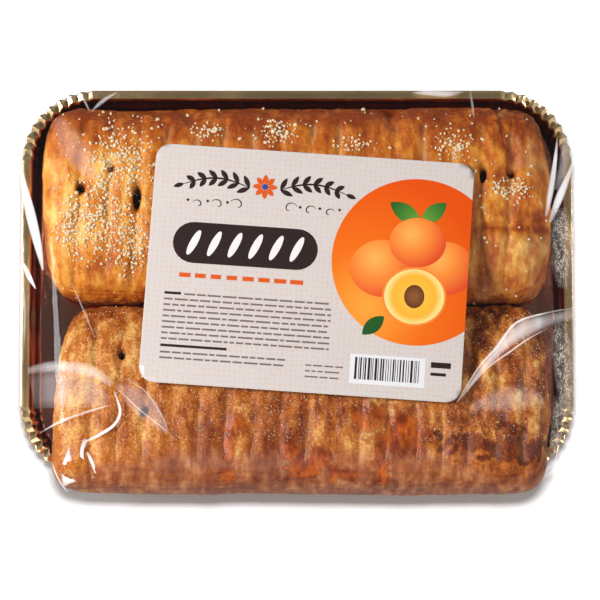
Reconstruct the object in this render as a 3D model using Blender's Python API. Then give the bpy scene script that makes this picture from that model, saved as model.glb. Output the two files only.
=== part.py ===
"""A pack of two strudel rolls on a gold board tray, sealed in clear film with a paper label.

Metres, +Z up. The pieces are made about the middle of the tray's underside: +X runs along the rolls and -Y is
the near side, where the front roll has ridden up on the rim. The whole pack is then centred on the origin.
"""

import math
import random
from typing import NamedTuple

import bmesh
import bpy
from mathutils import Matrix, Vector, noise
from mathutils.bvhtree import BVHTree

# Tray of pressed board
TRAY_LENGTH = 0.255
TRAY_DEPTH = 0.180
TRAY_HEIGHT = 0.018
TRAY_CORNER = 0.033
BOARD = 0.0008
RIM_WIDTH = 0.0042
RIM_EDGE = 0.0004
LIP_DROP = 0.0018
WALL_RUN = 0.0026
FLOOR_BEND = 0.0012
PLEAT_DEPTH = 0.0006
TRAY_CORNER_STEPS = 16
CUTTER_CORNER_STEPS = 8

# Strudel rolls
TOP_SIDES = 15
BOTTOM_SIDES = 6
END_ROUNDING = 24
END_SQUARENESS = 0.4
END_STATIONS = (0.0006, 0.0022, 0.0048, 0.0085, 0.013)
LEAN_REACH = 0.030
TOP_ROUNDNESS = 2.4
BOTTOM_ROUNDNESS = 3.2
BOTTOM_FLATTENING = 1.12
GROOVE_DEPTH = 0.0019
GROOVE_HALF_WIDTH = 0.0026
GROOVE_LEAN = 0.0022
PIT_DEPTH = 0.0045
PIT_HALF_WIDTH = 0.0016
RELIEF_BALANCE = 0.6
LUMP_SIZE = 0.030
LUMP_HEIGHT = 0.0011
DIMPLE_SIZE = 0.009
DIMPLE_HEIGHT = 0.0004

# Coarse sugar
GRAIN_RADIUS = (0.0008, 0.0012)
GRAIN_SINK = 0.25
SUGAR_PATCH_SIZE = 0.022

# Clear film, drawn tight over the rolls and the rim
CAVITY_CLEARANCE = 0.0014
FILM_CLEARANCE = 0.0019
FILM_TRAY_GAP = 0.0004
FILM_RIM_STAND = 0.0008
FILM_SIDES = 24
FILM_STATIONS = 7
CUTTER_OVERRUN = 0.002

# Paper label
LABEL_LENGTH = 0.1455
LABEL_DEPTH = 0.1105
LABEL_CORNER = 0.007
LABEL_THICKNESS = 0.0004
LABEL_LIFT = 0.0005
LABEL_MIDDLE = (0.0048, 0.0018)
LABEL_TURN = math.radians(-4.0)
LABEL_COLUMNS = 10
LABEL_ROWS = 8
LABEL_CORNER_STEPS = 3

COLOURS = {
    "crust_back": ((0.56, 0.26, 0.08, 1.0), 0.55, 0.0),
    "crust_front": ((0.44, 0.20, 0.07, 1.0), 0.55, 0.0),
    "gold_board": ((0.80, 0.62, 0.30, 1.0), 0.30, 1.0),
    "clear_film": ((0.90, 0.93, 0.95, 0.25), 0.08, 0.0),
    "label_paper": ((0.80, 0.76, 0.78, 1.0), 0.60, 0.0),
}


class Roll(NamedTuple):
    """One strudel roll. Its own frame has X along it, Y across it and Z up from the middle of its underside.

    pits holds, for some of the slits by number, the place across the roll and the half length of the open cut.
    dents holds (x, y, half length, half width, depth) of the creases where the dough was folded.
    """

    name: str
    material: str
    middle: tuple
    raised: float
    length: float
    width: float
    height: float
    belly: float
    end_lean: tuple
    first_slit: float
    slit_pitch: float
    slits: int
    pits: dict
    dents: tuple
    grains: int
    seed: int


BACK_ROLL = Roll(
    name="strudel_back", material="crust_back", middle=(-0.0002, 0.0359, 0.0013), raised=0.0,
    length=0.2345, width=0.0925, height=0.0385, belly=0.0165, end_lean=(0.0015, 0.0008),
    first_slit=-0.0994, slit_pitch=0.0131, slits=16,
    pits={
        0: (0.0067, 0.0028),
        1: (0.0164, 0.0020),
        2: (0.0004, 0.0060),
        14: (0.0141, 0.0052),
        15: (0.0150, 0.0022),
    },
    dents=(
        (0.116, -0.0145, 0.014, 0.0042, 0.0042),
        (0.100, 0.020, 0.0024, 0.012, 0.0016),
        (0.044, 0.043, 0.003, 0.010, 0.0022),
        (-0.110, 0.010, 0.0035, 0.014, 0.0018),
        (-0.050, 0.045, 0.004, 0.008, 0.0016),
    ),
    grains=44, seed=11,
)
FRONT_ROLL = Roll(
    name="strudel_front", material="crust_front", middle=(0.0021, -0.0573, 0.0103), raised=math.radians(14.5),
    length=0.2255, width=0.0865, height=0.0380, belly=0.0160, end_lean=(-0.0030, 0.0),
    first_slit=-0.0944, slit_pitch=0.0122, slits=17,
    pits={
        1: (0.0160, 0.0038),
        2: (-0.0160, 0.0028),
        12: (0.0200, 0.0030),
    },
    dents=(
        (-0.106, 0.004, 0.008, 0.0036, 0.0032),
        (-0.094, -0.034, 0.0030, 0.010, 0.0016),
        (0.1115, 0.030, 0.010, 0.0040, 0.0026),
        (0.040, -0.020, 0.006, 0.006, 0.0010),
    ),
    grains=38, seed=23,
)
ROLLS = (BACK_ROLL, FRONT_ROLL)


def clear_scene():
    for old in list(bpy.data.objects):
        bpy.data.objects.remove(old)


def finish_material(name):
    """The Principled material of one of the pack's stuffs."""
    colour, roughness, metallic = COLOURS[name]
    material = bpy.data.materials.new(name)
    material.use_nodes = True
    shader = material.node_tree.nodes["Principled BSDF"]
    shader.inputs["Base Color"].default_value = (*colour[:3], 1.0)
    shader.inputs["Alpha"].default_value = colour[3]
    shader.inputs["Roughness"].default_value = roughness
    shader.inputs["Metallic"].default_value = metallic
    material.diffuse_color = colour
    return material


def add_object(name, mesh, material=None):
    obj = bpy.data.objects.new(name, mesh)
    bpy.context.scene.collection.objects.link(obj)
    if material:
        mesh.materials.append(material)
    return obj


def lofted_mesh(name, loops):
    """A closed mesh through loops of as many points each, with both end loops filled."""
    bm = bmesh.new()
    rings = [[bm.verts.new(point) for point in loop] for loop in loops]
    for low, high in zip(rings, rings[1:]):
        for i in range(len(low)):
            j = (i + 1) % len(low)
            bm.faces.new((low[i], low[j], high[j], high[i]))
    bm.faces.new(rings[0])
    bm.faces.new(rings[-1])
    bmesh.ops.recalc_face_normals(bm, faces=bm.faces)
    mesh = bpy.data.meshes.new(name)
    bm.to_mesh(mesh)
    bm.free()
    return mesh


def smooth_step(value):
    t = min(1.0, max(0.0, value))
    return t * t * (3 - 2 * t)


def signed_power(value, power):
    return math.copysign(abs(value) ** power, value)


# Tray

def tray_loop(inset, z, steps=TRAY_CORNER_STEPS, pleat=0.0):
    """The tray's rounded outline, inset from the rim's outer edge. Every second corner point is folded in."""
    points = []
    for corner in range(4):
        side_x = 1 if corner in (0, 3) else -1
        side_y = 1 if corner in (0, 1) else -1
        centre = Vector((side_x * (TRAY_LENGTH / 2 - TRAY_CORNER), side_y * (TRAY_DEPTH / 2 - TRAY_CORNER), z))
        for step in range(steps + 1):
            angle = (corner + step / steps) * math.pi / 2
            reach = TRAY_CORNER - inset - (pleat if step % 2 else 0.0)
            points.append(centre + reach * Vector((math.cos(angle), math.sin(angle), 0.0)))
    return points


def make_tray():
    """Floor, leaning wall and flat rim with a turned-down lip, pleated round the corners."""
    floor_inset = RIM_WIDTH + WALL_RUN
    profile = (
        (floor_inset - BOARD, 0.0, 0.0),
        (RIM_WIDTH - BOARD, TRAY_HEIGHT - BOARD, PLEAT_DEPTH),
        (BOARD, TRAY_HEIGHT - BOARD, PLEAT_DEPTH),
        (BOARD, TRAY_HEIGHT - LIP_DROP, PLEAT_DEPTH),
        (0.0, TRAY_HEIGHT - LIP_DROP, PLEAT_DEPTH),
        (0.0, TRAY_HEIGHT - RIM_EDGE, PLEAT_DEPTH),
        (RIM_EDGE, TRAY_HEIGHT, PLEAT_DEPTH),
        (RIM_WIDTH - RIM_EDGE, TRAY_HEIGHT, PLEAT_DEPTH),
        (RIM_WIDTH + RIM_EDGE, TRAY_HEIGHT - 2 * RIM_EDGE, PLEAT_DEPTH),
        (floor_inset - RIM_EDGE, BOARD + FLOOR_BEND, PLEAT_DEPTH / 2),
        (floor_inset + FLOOR_BEND, BOARD, 0.0),
    )
    loops = [tray_loop(inset, z, pleat=pleat) for inset, z, pleat in profile]
    return add_object("tray", lofted_mesh("tray", loops), finish_material("gold_board"))


# Rolls

def end_share(roll, x, extra=0.0):
    """How much of the full section is left at x, where the pinched ends round off."""
    along = min(1.0, abs(x) / (roll.length / 2 + extra))
    return (1 - along**END_ROUNDING) ** END_SQUARENESS


def leaning(roll, x, across):
    """How far a point near an end is carried along the roll, so that the end stands aslant."""
    left, right = roll.end_lean
    lean = left if x < 0 else right
    return lean * across / (roll.width / 2) * smooth_step(1 - (roll.length / 2 - abs(x)) / LEAN_REACH)


def section_point(roll, x, angle, extra=0.0):
    """A point of the roll's smooth outer form in its own frame, with extra thickness all round."""
    share = end_share(roll, x, extra)
    half_width = (roll.width / 2 + extra) * share
    roundness = 2 / (TOP_ROUNDNESS if math.sin(angle) >= 0 else BOTTOM_ROUNDNESS)
    across = half_width * signed_power(math.cos(angle), roundness)
    rise = signed_power(math.sin(angle), roundness)
    if rise >= 0:
        up = roll.belly + (roll.height - roll.belly + extra) * share * rise
    else:
        up = max(-extra, roll.belly + (roll.belly + extra) * BOTTOM_FLATTENING * share * rise)
    return Vector((x - leaning(roll, x, across), across, up))


def slit_places(roll):
    """Where the roll's crosswise slits lie along it, and how deep each is."""
    draw = random.Random(roll.seed)
    return [
        (roll.first_slit + k * roll.slit_pitch + draw.uniform(-0.0005, 0.0005), draw.uniform(0.6, 1.1))
        for k in range(roll.slits)
    ]


def slit_depth(roll, slits, x, angle, across):
    """The grooves pressed across the top, and the pits where a slit has opened."""
    on_top = smooth_step((math.sin(angle) - 0.4) / 0.35)
    lean = GROOVE_LEAN * math.cos(angle)
    depth = 0.0
    for k, (slit_x, share) in enumerate(slits):
        off = x - slit_x - lean
        depth += GROOVE_DEPTH * share * math.exp(-((off / GROOVE_HALF_WIDTH) ** 2)) * on_top
        if k in roll.pits:
            place, half_length = roll.pits[k]
            shape = (off / PIT_HALF_WIDTH) ** 2 + ((across - place) / half_length) ** 4
            depth += PIT_DEPTH * math.exp(-shape)
    return depth


def dent_depth(roll, x, across):
    depth = 0.0
    for dent_x, place, half_length, half_width, most in roll.dents:
        shape = ((x - dent_x) / half_length) ** 2 + ((across - place) / half_width) ** 2
        depth += most * math.exp(-shape)
    return depth


def relief(roll, slits, x, angle):
    """How far the crust lies under the smooth form: slits, creases, lumps and dimples."""
    point = section_point(roll, x, angle)
    on_top = smooth_step((math.sin(angle) - 0.4) / 0.35)
    place = point + Vector((roll.seed, 0.0, 0.0))
    lumps = RELIEF_BALANCE + noise.noise(place / LUMP_SIZE)
    dimples = RELIEF_BALANCE + noise.noise(place / DIMPLE_SIZE)
    sunk = 0.0
    if math.sin(angle) > 0:
        sunk = slit_depth(roll, slits, x, angle, point.y) + dent_depth(roll, x, point.y)
    return sunk + LUMP_HEIGHT * lumps * end_share(roll, x) + DIMPLE_HEIGHT * dimples * on_top


def crust_point(roll, slits, x, angle):
    point = section_point(roll, x, angle)
    core = Vector((point.x, 0.0, roll.belly))
    return point - (point - core).normalized() * relief(roll, slits, x, angle)


def stations(roll, slits):
    """Where the roll's rings lie: either side of each slit, on it, between slits and closer at the ends."""
    half = roll.length / 2
    places = [-half + step for step in END_STATIONS] + [half - step for step in END_STATIONS]
    for (x, _), (after, _) in zip(slits, slits[1:] + [(slits[-1][0] + roll.slit_pitch, 0.0)]):
        places += [x - GROOVE_HALF_WIDTH, x, x + GROOVE_HALF_WIDTH, (x + after) / 2]
    inside = sorted(x for x in places if abs(x) <= half - END_STATIONS[0])
    return [x for x, after in zip(inside, inside[1:] + [math.inf]) if after - x > END_STATIONS[0]]


def section_turns(top_sides, bottom_sides):
    """The angles round a section, closer over the top than underneath."""
    top = [k / top_sides * math.pi for k in range(top_sides)]
    return top + [math.pi + k / bottom_sides * math.pi for k in range(bottom_sides)]


def placing(roll):
    return Matrix.Translation(roll.middle) @ Matrix.Rotation(-roll.raised, 4, "X")


def sugar_grains(roll, slits):
    """A collection of coarse sugar crystals lying in patches on top of the roll."""
    draw = random.Random(roll.seed + 1)
    grains = bpy.data.collections.new(roll.name + "_sugar")
    bpy.context.scene.collection.children.link(grains)
    while len(grains.objects) < roll.grains:
        x = draw.uniform(-0.45, 0.45) * roll.length
        angle = draw.gauss(math.pi / 2, 0.38)
        point = crust_point(roll, slits, x, angle)
        patchy = noise.noise(point / SUGAR_PATCH_SIZE + Vector((0.0, roll.seed, 0.0)))
        if patchy < draw.uniform(-0.5, 0.3) or not 0.7 < angle < 2.45:
            continue
        radius = draw.uniform(*GRAIN_RADIUS)
        outward = (point - Vector((point.x, 0.0, roll.belly))).normalized()
        bm = bmesh.new()
        bmesh.ops.create_icosphere(bm, subdivisions=1, radius=radius)
        turn = Matrix.Rotation(draw.uniform(0, math.tau), 4, Vector((draw.random(), draw.random(), 1.0)))
        bm.transform(Matrix.Translation(point - outward * radius * GRAIN_SINK) @ turn)
        mesh = bpy.data.meshes.new(roll.name + "_grain")
        bm.to_mesh(mesh)
        bm.free()
        grains.objects.link(bpy.data.objects.new(mesh.name, mesh))
    return grains


def fuse(obj, others):
    """Joins the collection's objects to obj in one Boolean union, and removes them."""
    union = obj.modifiers.new("fuse", "BOOLEAN")
    union.operation = "UNION"
    union.operand_type = "COLLECTION"
    union.collection = others
    graph = bpy.context.evaluated_depsgraph_get()
    joined = bpy.data.meshes.new_from_object(obj.evaluated_get(graph))
    obj.modifiers.remove(union)
    obj.data = joined
    for other in list(others.objects):
        bpy.data.objects.remove(other)
    bpy.data.collections.remove(others)


def make_roll(roll):
    slits = slit_places(roll)
    turns = section_turns(TOP_SIDES, BOTTOM_SIDES)
    loops = [[crust_point(roll, slits, x, angle) for angle in turns] for x in stations(roll, slits)]
    obj = add_object(roll.name, lofted_mesh(roll.name, loops), finish_material(roll.material))
    fuse(obj, sugar_grains(roll, slits))
    obj.matrix_world = placing(roll)
    obj.data.shade_smooth()
    obj.data.set_sharp_from_angle(angle=math.radians(40))
    return obj


def form_loops(roll, extra):
    """The roll's smooth form with extra thickness all round, as rings in the pack's frame."""
    half = roll.length / 2 + extra
    edges = [-half + step for step in END_STATIONS]
    last = FILM_STATIONS - 1
    middle = [(2 * k / last - 1) * 0.6 * half for k in range(FILM_STATIONS)]
    place = placing(roll)
    turns = [side / FILM_SIDES * math.tau for side in range(FILM_SIDES)]
    return [
        [place @ section_point(roll, x, angle, extra) for angle in turns]
        for x in edges + middle + [-x for x in reversed(edges)]
    ]


# Film

def make_cutter(name, loops):
    cutter = add_object(name, lofted_mesh(name, loops))
    cutter.hide_render = True
    cutter.display_type = "WIRE"
    return cutter


def film_hull():
    """The film's outer form: one taut skin round the rolls, the rim and the tray's base."""
    base_inset = RIM_WIDTH + WALL_RUN - BOARD - FILM_RIM_STAND
    points = [point for roll in ROLLS for loop in form_loops(roll, FILM_CLEARANCE) for point in loop]
    points = [point for point in points if point.z > 0]
    points += tray_loop(base_inset, 0.0, CUTTER_CORNER_STEPS)
    points += tray_loop(-FILM_RIM_STAND, TRAY_HEIGHT - LIP_DROP, CUTTER_CORNER_STEPS)
    points += tray_loop(-FILM_RIM_STAND, TRAY_HEIGHT + FILM_RIM_STAND, CUTTER_CORNER_STEPS)
    bm = bmesh.new()
    for point in points:
        bm.verts.new(point)
    hull = bmesh.ops.convex_hull(bm, input=bm.verts)
    bmesh.ops.delete(bm, geom=list(set(hull["geom_interior"] + hull["geom_unused"])), context="VERTS")
    bmesh.ops.recalc_face_normals(bm, faces=bm.faces)
    return bm


def make_film():
    """The sealed bag, solid but for the tray and the rolls inside it. Returns it with its outer surface's tree."""
    bm = film_hull()
    surface = BVHTree.FromBMesh(bm)
    mesh = bpy.data.meshes.new("film")
    bm.to_mesh(mesh)
    bm.free()
    film = add_object("film", mesh, finish_material("clear_film"))
    base_inset = RIM_WIDTH + WALL_RUN - BOARD - FILM_TRAY_GAP
    tray_space = (
        (base_inset, -CUTTER_OVERRUN),
        (base_inset, 0.0),
        (RIM_WIDTH - BOARD - FILM_TRAY_GAP, TRAY_HEIGHT - LIP_DROP - FILM_TRAY_GAP),
        (-FILM_TRAY_GAP, TRAY_HEIGHT - LIP_DROP - FILM_TRAY_GAP),
        (-FILM_TRAY_GAP, TRAY_HEIGHT + FILM_TRAY_GAP),
    )
    loops = [tray_loop(inset, z, CUTTER_CORNER_STEPS) for inset, z in tray_space]
    cutters = [make_cutter("tray_space", loops)]
    cutters += [make_cutter(roll.name + "_space", form_loops(roll, CAVITY_CLEARANCE)) for roll in ROLLS]
    for cutter in cutters:
        cut = film.modifiers.new(cutter.name, "BOOLEAN")
        cut.operation = "DIFFERENCE"
        cut.object = cutter
    return film, surface


# Label

def label_rows():
    """(distance from the label's middle line, half its length there), from edge to edge with round corners."""
    straight = LABEL_DEPTH / 2 - LABEL_CORNER
    rows = [(straight * (2 * k / LABEL_ROWS - 1), LABEL_LENGTH / 2) for k in range(LABEL_ROWS + 1)]
    for step in range(1, LABEL_CORNER_STEPS + 1):
        angle = step / LABEL_CORNER_STEPS * math.pi / 2
        across = straight + LABEL_CORNER * math.sin(angle)
        along = LABEL_LENGTH / 2 - LABEL_CORNER * (1 - math.cos(angle))
        rows += [(across, along), (-across, along)]
    return sorted(rows)


def make_label(surface):
    """A sheet of paper that lies on the film and bends over both rolls."""
    place = Matrix.Translation((*LABEL_MIDDLE, 0.0)) @ Matrix.Rotation(LABEL_TURN, 4, "Z")
    above = TRAY_HEIGHT * 10
    bm = bmesh.new()
    rows = []
    for across, half_length in label_rows():
        row = []
        for column in range(LABEL_COLUMNS + 1):
            spot = place @ Vector((half_length * (2 * column / LABEL_COLUMNS - 1), across, above))
            hit = surface.ray_cast(spot, Vector((0.0, 0.0, -1.0)))[0]
            row.append(bm.verts.new(hit + Vector((0.0, 0.0, LABEL_LIFT))))
        rows.append(row)
    for low, high in zip(rows, rows[1:]):
        for i in range(LABEL_COLUMNS):
            bm.faces.new((low[i], low[i + 1], high[i + 1], high[i]))
    mesh = bpy.data.meshes.new("label")
    bm.to_mesh(mesh)
    bm.free()
    label = add_object("label", mesh, finish_material("label_paper"))
    thickness = label.modifiers.new("paper", "SOLIDIFY")
    thickness.thickness = LABEL_THICKNESS
    thickness.offset = 1.0
    return label


def centre_pack(film):
    """Hangs every piece on one empty that puts the middle of the film's outline on the origin."""
    pieces = list(bpy.data.objects)
    sides = [corner[1] for corner in film.bound_box]
    pack = bpy.data.objects.new("pack", None)
    bpy.context.scene.collection.objects.link(pack)
    pack.location.y = -(min(sides) + max(sides)) / 2
    for piece in pieces:
        piece.parent = pack


def main():
    clear_scene()
    make_tray()
    for roll in ROLLS:
        make_roll(roll)
    film, surface = make_film()
    make_label(surface)
    centre_pack(film)


main()
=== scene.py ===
"""The look of a sealed pack of two strudel rolls on a gold board tray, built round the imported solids.

Metres, +Z up, in the frame's own coordinates. Pixels are those of the 600 by 600 photograph.
"""

import math
import random
from typing import NamedTuple

import bmesh
import bpy
import numpy as np
from mathutils import Euler, Matrix, Vector
from mathutils.bvhtree import BVHTree


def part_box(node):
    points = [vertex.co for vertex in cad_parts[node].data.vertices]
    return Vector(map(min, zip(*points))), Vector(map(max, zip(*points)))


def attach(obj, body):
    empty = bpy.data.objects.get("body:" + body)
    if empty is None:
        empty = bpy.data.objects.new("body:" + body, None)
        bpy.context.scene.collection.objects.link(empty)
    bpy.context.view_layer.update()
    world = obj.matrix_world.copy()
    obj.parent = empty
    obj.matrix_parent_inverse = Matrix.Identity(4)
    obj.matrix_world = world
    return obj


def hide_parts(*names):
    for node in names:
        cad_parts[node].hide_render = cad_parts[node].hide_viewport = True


BODY = "root"
ABOVE_ALL = 0.2

# Photograph and camera
PHOTO_SIZE = 600
METRES_A_PIXEL = 0.4621e-3
CAMERA_DISTANCE = 1.5
CAMERA_ELEVATION = math.radians(84)
SENSOR_WIDTH = 36
AIM = Vector((0.0014, -0.0043, 0.018))

# Strudel rolls, as in the solids
END_ROUNDING = 24
END_SQUARENESS = 0.4
LEAN_REACH = 0.030
TOP_ROUNDNESS = 2.4
BOTTOM_ROUNDNESS = 3.2
BOTTOM_FLATTENING = 1.12
GROOVE_DEPTH = 0.0034
GROOVE_HALF_WIDTH = 0.0026
GROOVE_LEAN = 0.0022
GRAIN_RADIUS = (0.00038, 0.00090)

# Finer crust than the solids have
RING_PITCH = 0.00043
TOP_SIDES = 118
BOTTOM_SIDES = 46
BACK_GROOVES = 0.78
FRONT_GROOVES = 0.58
BACK_COARSENESS = 0.95
FRONT_COARSENESS = 1.35
NEAR_SWELL = 0.0028
FLAP_STEP = 0.0010
SEAM_ACROSS = -0.0129
SEAM_DEPTH = 0.0021
SEAM_HALF_WIDTH = 0.0019
SEAM_START = 0.077
BURST_MIDDLE = (0.1075, -0.0072)
BURST_SIZE = (0.0085, 0.0050)
BURST_DEPTH = 0.0020
BULGE_RISE = 0.0010
FAR_WAVES = 0.0024
PIT_DEPTH = 0.0058
PIT_HALF_WIDTH = 0.0020
LUMP_SIZE = 0.030
LUMP_HEIGHT = 0.0011
RELIEF_BALANCE = 0.6
FINE_HEIGHT = 0.0004
LAYER_PITCH = 0.0021
LAYER_DEPTH = 0.00042
COARSE_FROM = 0.050

# Jam, grease and caramel on the crust
STAIN_HEIGHT = 0.035
JAM_SEED = 61
CARAMEL_SEED = 63
BAND_EDGE = (300, 446)
BAND_HEIGHT = 0.042

# Loose sugar
COARSE_GRAINS = 2000
FINE_GRAINS = 6500
FINE_GRAIN_RADIUS = (0.00012, 0.00030)
SHARE_IN_PATCHES = 0.86
SUGAR_HEIGHT = 0.040

# Tray, as in the solids
TRAY_CORNER = 0.033
BOARD = 0.0008
TRAY_STAND = 0.0004
RIM_WIDTH = 0.0042
RIM_EDGE = 0.0004
LIP_DROP = 0.0018
WALL_RUN = 0.0026
FLOOR_BEND = 0.0012
PLEATS_A_CORNER = 9
STEPS_A_PLEAT = 8

# Film
FILM_VOXEL = 0.0013
FILM_RIPPLE = 0.00018
FILM_MOST_MIRROR = 0.034
FILM_UNDERSIDE = 0.0001
FILM_EASE = 0.0008
# Strips of folds and painted glare laid over the film
STRIP_COLUMNS = 5
STRIP_LIFT = 0.00012
STRIP_STEP = 3.0

# Label, as in the solids
LABEL_LENGTH = 0.1455
LABEL_DEPTH = 0.1105
LABEL_CORNER = 0.007
LABEL_MIDDLE = Vector((0.0048, 0.0018, 0.0))
LABEL_TURN = math.radians(-4)
LABEL_LIFT = 0.00085
PAPER_THICKNESS = 0.00018
SHEET_STEP = 0.0025
INK_LIFT = 0.00002
DOT_PITCH = 0.0023

# Print, whose outlines are in millimetres from the label's middle
MM = 0.001
PRINT_PITCH = 2.6
WORD_LENGTHS = (1.8, 6.8)
WORD_GAP = 0.8
SIGN_MIDDLE = -22
LEAF_PAIRS = 6
BAR_WIDTHS = (0.35, 0.35, 0.7, 1.05)
BAR_GAPS = (0.35, 0.7, 0.7)

# Studio
FLOOR_REACH = 3.0
CLIPPING = (0.05, 20)


class Roll(NamedTuple):
    """One strudel roll, in its own frame: X along it, Y across it, Z up from its underside's middle.

    Its pits are slit number: (place across, half length), and its dents (x, across, half length, half width,
    depth).
    """

    node: str
    middle: tuple
    raised: float
    length: float
    width: float
    height: float
    belly: float
    end_lean: tuple
    first_slit: float
    slit_pitch: float
    slits: int
    pits: dict
    dents: tuple
    seed: int


BACK_ROLL = Roll(
    node="strudel_back", middle=(-0.0002, 0.0359, 0.0013), raised=0.0,
    length=0.2345, width=0.0925, height=0.0385, belly=0.0165, end_lean=(0.0015, 0.0008),
    first_slit=-0.0994, slit_pitch=0.0131, slits=16,
    pits={
        0: (0.0067, 0.0028),
        1: (0.0164, 0.0020),
        2: (0.0010, 0.0078),
        14: (0.0141, 0.0052),
        15: (0.0150, 0.0022),
    },
    dents=(
        (0.116, -0.0145, 0.014, 0.0042, 0.0042),
        (0.100, 0.020, 0.0024, 0.012, 0.0016),
        (0.044, 0.043, 0.003, 0.010, 0.0022),
        (-0.110, 0.010, 0.0035, 0.014, 0.0018),
        (-0.050, 0.045, 0.004, 0.008, 0.0016),
    ),
    seed=11,
)
FRONT_ROLL = Roll(
    node="strudel_front", middle=(0.0021, -0.0573, 0.0103), raised=math.radians(14.5),
    length=0.2255, width=0.0865, height=0.0380, belly=0.0160, end_lean=(-0.0030, 0.0),
    first_slit=-0.0944, slit_pitch=0.0122, slits=17,
    pits={
        1: (0.0160, 0.0038),
        2: (-0.0160, 0.0028),
        12: (0.0200, 0.0030),
    },
    dents=(
        (-0.106, 0.004, 0.008, 0.0036, 0.0032),
        (-0.094, -0.034, 0.0030, 0.010, 0.0016),
        (0.1115, 0.030, 0.010, 0.0040, 0.0026),
        (0.040, -0.020, 0.006, 0.006, 0.0010),
    ),
    seed=23,
)

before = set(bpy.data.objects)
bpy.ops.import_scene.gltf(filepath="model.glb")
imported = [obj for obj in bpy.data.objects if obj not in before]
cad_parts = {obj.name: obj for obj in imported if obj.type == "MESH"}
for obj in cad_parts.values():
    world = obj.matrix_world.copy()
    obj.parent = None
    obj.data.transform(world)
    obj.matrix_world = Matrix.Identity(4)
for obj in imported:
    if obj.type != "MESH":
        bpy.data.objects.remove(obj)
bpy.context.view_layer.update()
TRAY_LOW, TRAY_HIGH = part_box("tray")
TRAY_MIDDLE = Vector(((TRAY_LOW.x + TRAY_HIGH.x) / 2, (TRAY_LOW.y + TRAY_HIGH.y) / 2, 0.0))
TRAY_LENGTH = TRAY_HIGH.x - TRAY_LOW.x
TRAY_DEPTH = TRAY_HIGH.y - TRAY_LOW.y
TRAY_HEIGHT = TRAY_HIGH.z


# Noise over space

def corner_values(cells, seed):
    """A fixed random value from -1 to 1 for each whole-number cell corner."""
    key = (cells[:, 0] * 73856093) ^ (cells[:, 1] * 19349663) ^ (cells[:, 2] * 83492791) ^ (seed * 2654435761)
    key = ((key ^ (key >> 13)) * 1274126177) & 0xFFFFFFFF
    key ^= key >> 16
    return (key & 0xFFFF) / 32767.5 - 1


def lattice_noise(points, size, seed):
    """Smooth random values from -1 to 1. The features' size is one number, or one for each axis."""
    cell = points / np.asarray(size) + seed * 17.13
    low = np.floor(cell).astype(np.int64)
    part = cell - low
    blend = part * part * (3 - 2 * part)
    total = np.zeros(len(points))
    for corner in range(8):
        step = np.array([(corner >> axis) & 1 for axis in range(3)])
        weight = np.prod(np.where(step, blend, 1 - blend), axis=1)
        total += weight * corner_values(low + step, seed)
    return total


def rough_noise(points, size, seed, octaves=3):
    """Lattice noise with finer and weaker copies on top."""
    size = np.asarray(size, dtype=float)
    total = np.zeros(len(points))
    for octave in range(octaves):
        total += lattice_noise(points, size / 2**octave, seed + octave) / 2**octave
    return total / 1.4


def smooth_step(value):
    t = np.clip(value, 0.0, 1.0)
    return t * t * (3 - 2 * t)


def rise(values, start, reach):
    """From 0 at the start to 1 a reach further on, or further back where the reach is negative."""
    return smooth_step((values - start) / reach)


def signed_power(value, power):
    return np.sign(value) * np.abs(value) ** power


# Meshes

def add_object(name, data, material=None):
    obj = bpy.data.objects.new(name, data)
    bpy.context.scene.collection.objects.link(obj)
    if material:
        data.materials.append(material)
    return obj


def mesh_from(name, points, faces, smooth=True):
    mesh = bpy.data.meshes.new(name)
    mesh.from_pydata([tuple(point) for point in points], [], [tuple(face) for face in faces])
    mesh.update()
    if smooth:
        mesh.shade_smooth()
    return mesh


def grid_faces(rows, columns, closed_rows=False, closed_columns=False):
    """Quads between the points of a grid stored row by row."""
    row = np.arange(rows if closed_rows else rows - 1)
    column = np.arange(columns if closed_columns else columns - 1)
    i, j = np.meshgrid(row, column, indexing="ij")
    after_i = (i + 1) % rows
    after_j = (j + 1) % columns
    corners = [i * columns + j, i * columns + after_j, after_i * columns + after_j, after_i * columns + j]
    return np.stack(corners, axis=-1).reshape(-1, 4)


def set_attribute(mesh, name, values):
    attribute = mesh.attributes.new(name, "FLOAT", "POINT")
    attribute.data.foreach_set("value", np.asarray(values, dtype=np.float32))


def normals_of(mesh):
    values = np.empty(len(mesh.vertices) * 3, dtype=np.float32)
    mesh.vertex_normals.foreach_get("vector", values)
    return values.reshape(-1, 3).astype(float)


def tree_of(mesh):
    points = [vertex.co for vertex in mesh.vertices]
    return BVHTree.FromPolygons(points, [tuple(face.vertices) for face in mesh.polygons])


def ride(obj, slot, *nodes):
    """Puts a finished piece on the pack's one body and hides the solids that it stands for."""
    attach(obj, BODY)
    if nodes:
        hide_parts(*nodes)
    return obj


# Photograph to pack

def camera_turn():
    return Euler((math.pi / 2 - CAMERA_ELEVATION, 0.0, 0.0))


def camera_place():
    back = Vector((0.0, -math.cos(CAMERA_ELEVATION), math.sin(CAMERA_ELEVATION)))
    return AIM + back * CAMERA_DISTANCE


def pixel_ray(x, y):
    """The line of sight through a pixel of the photograph."""
    across = (x - PHOTO_SIZE / 2) * METRES_A_PIXEL
    up = (PHOTO_SIZE / 2 - y) * METRES_A_PIXEL
    direction = camera_turn().to_matrix() @ Vector((across, up, -CAMERA_DISTANCE))
    return camera_place(), direction.normalized()


def pixel_at_height(x, y, height):
    """The point at a height above the floor that a pixel of the photograph shows."""
    start, direction = pixel_ray(x, y)
    return start + direction * ((height - start.z) / direction.z)


# Shader nodes

def srgb(red, green, blue):
    """A colour given from 0 to 255 as it looks, in the linear values that shaders take."""
    return tuple(
        value / 12.92 if value <= 0.04045 else ((value + 0.055) / 1.055) ** 2.4
        for value in (red / 255, green / 255, blue / 255)
    )


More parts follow.
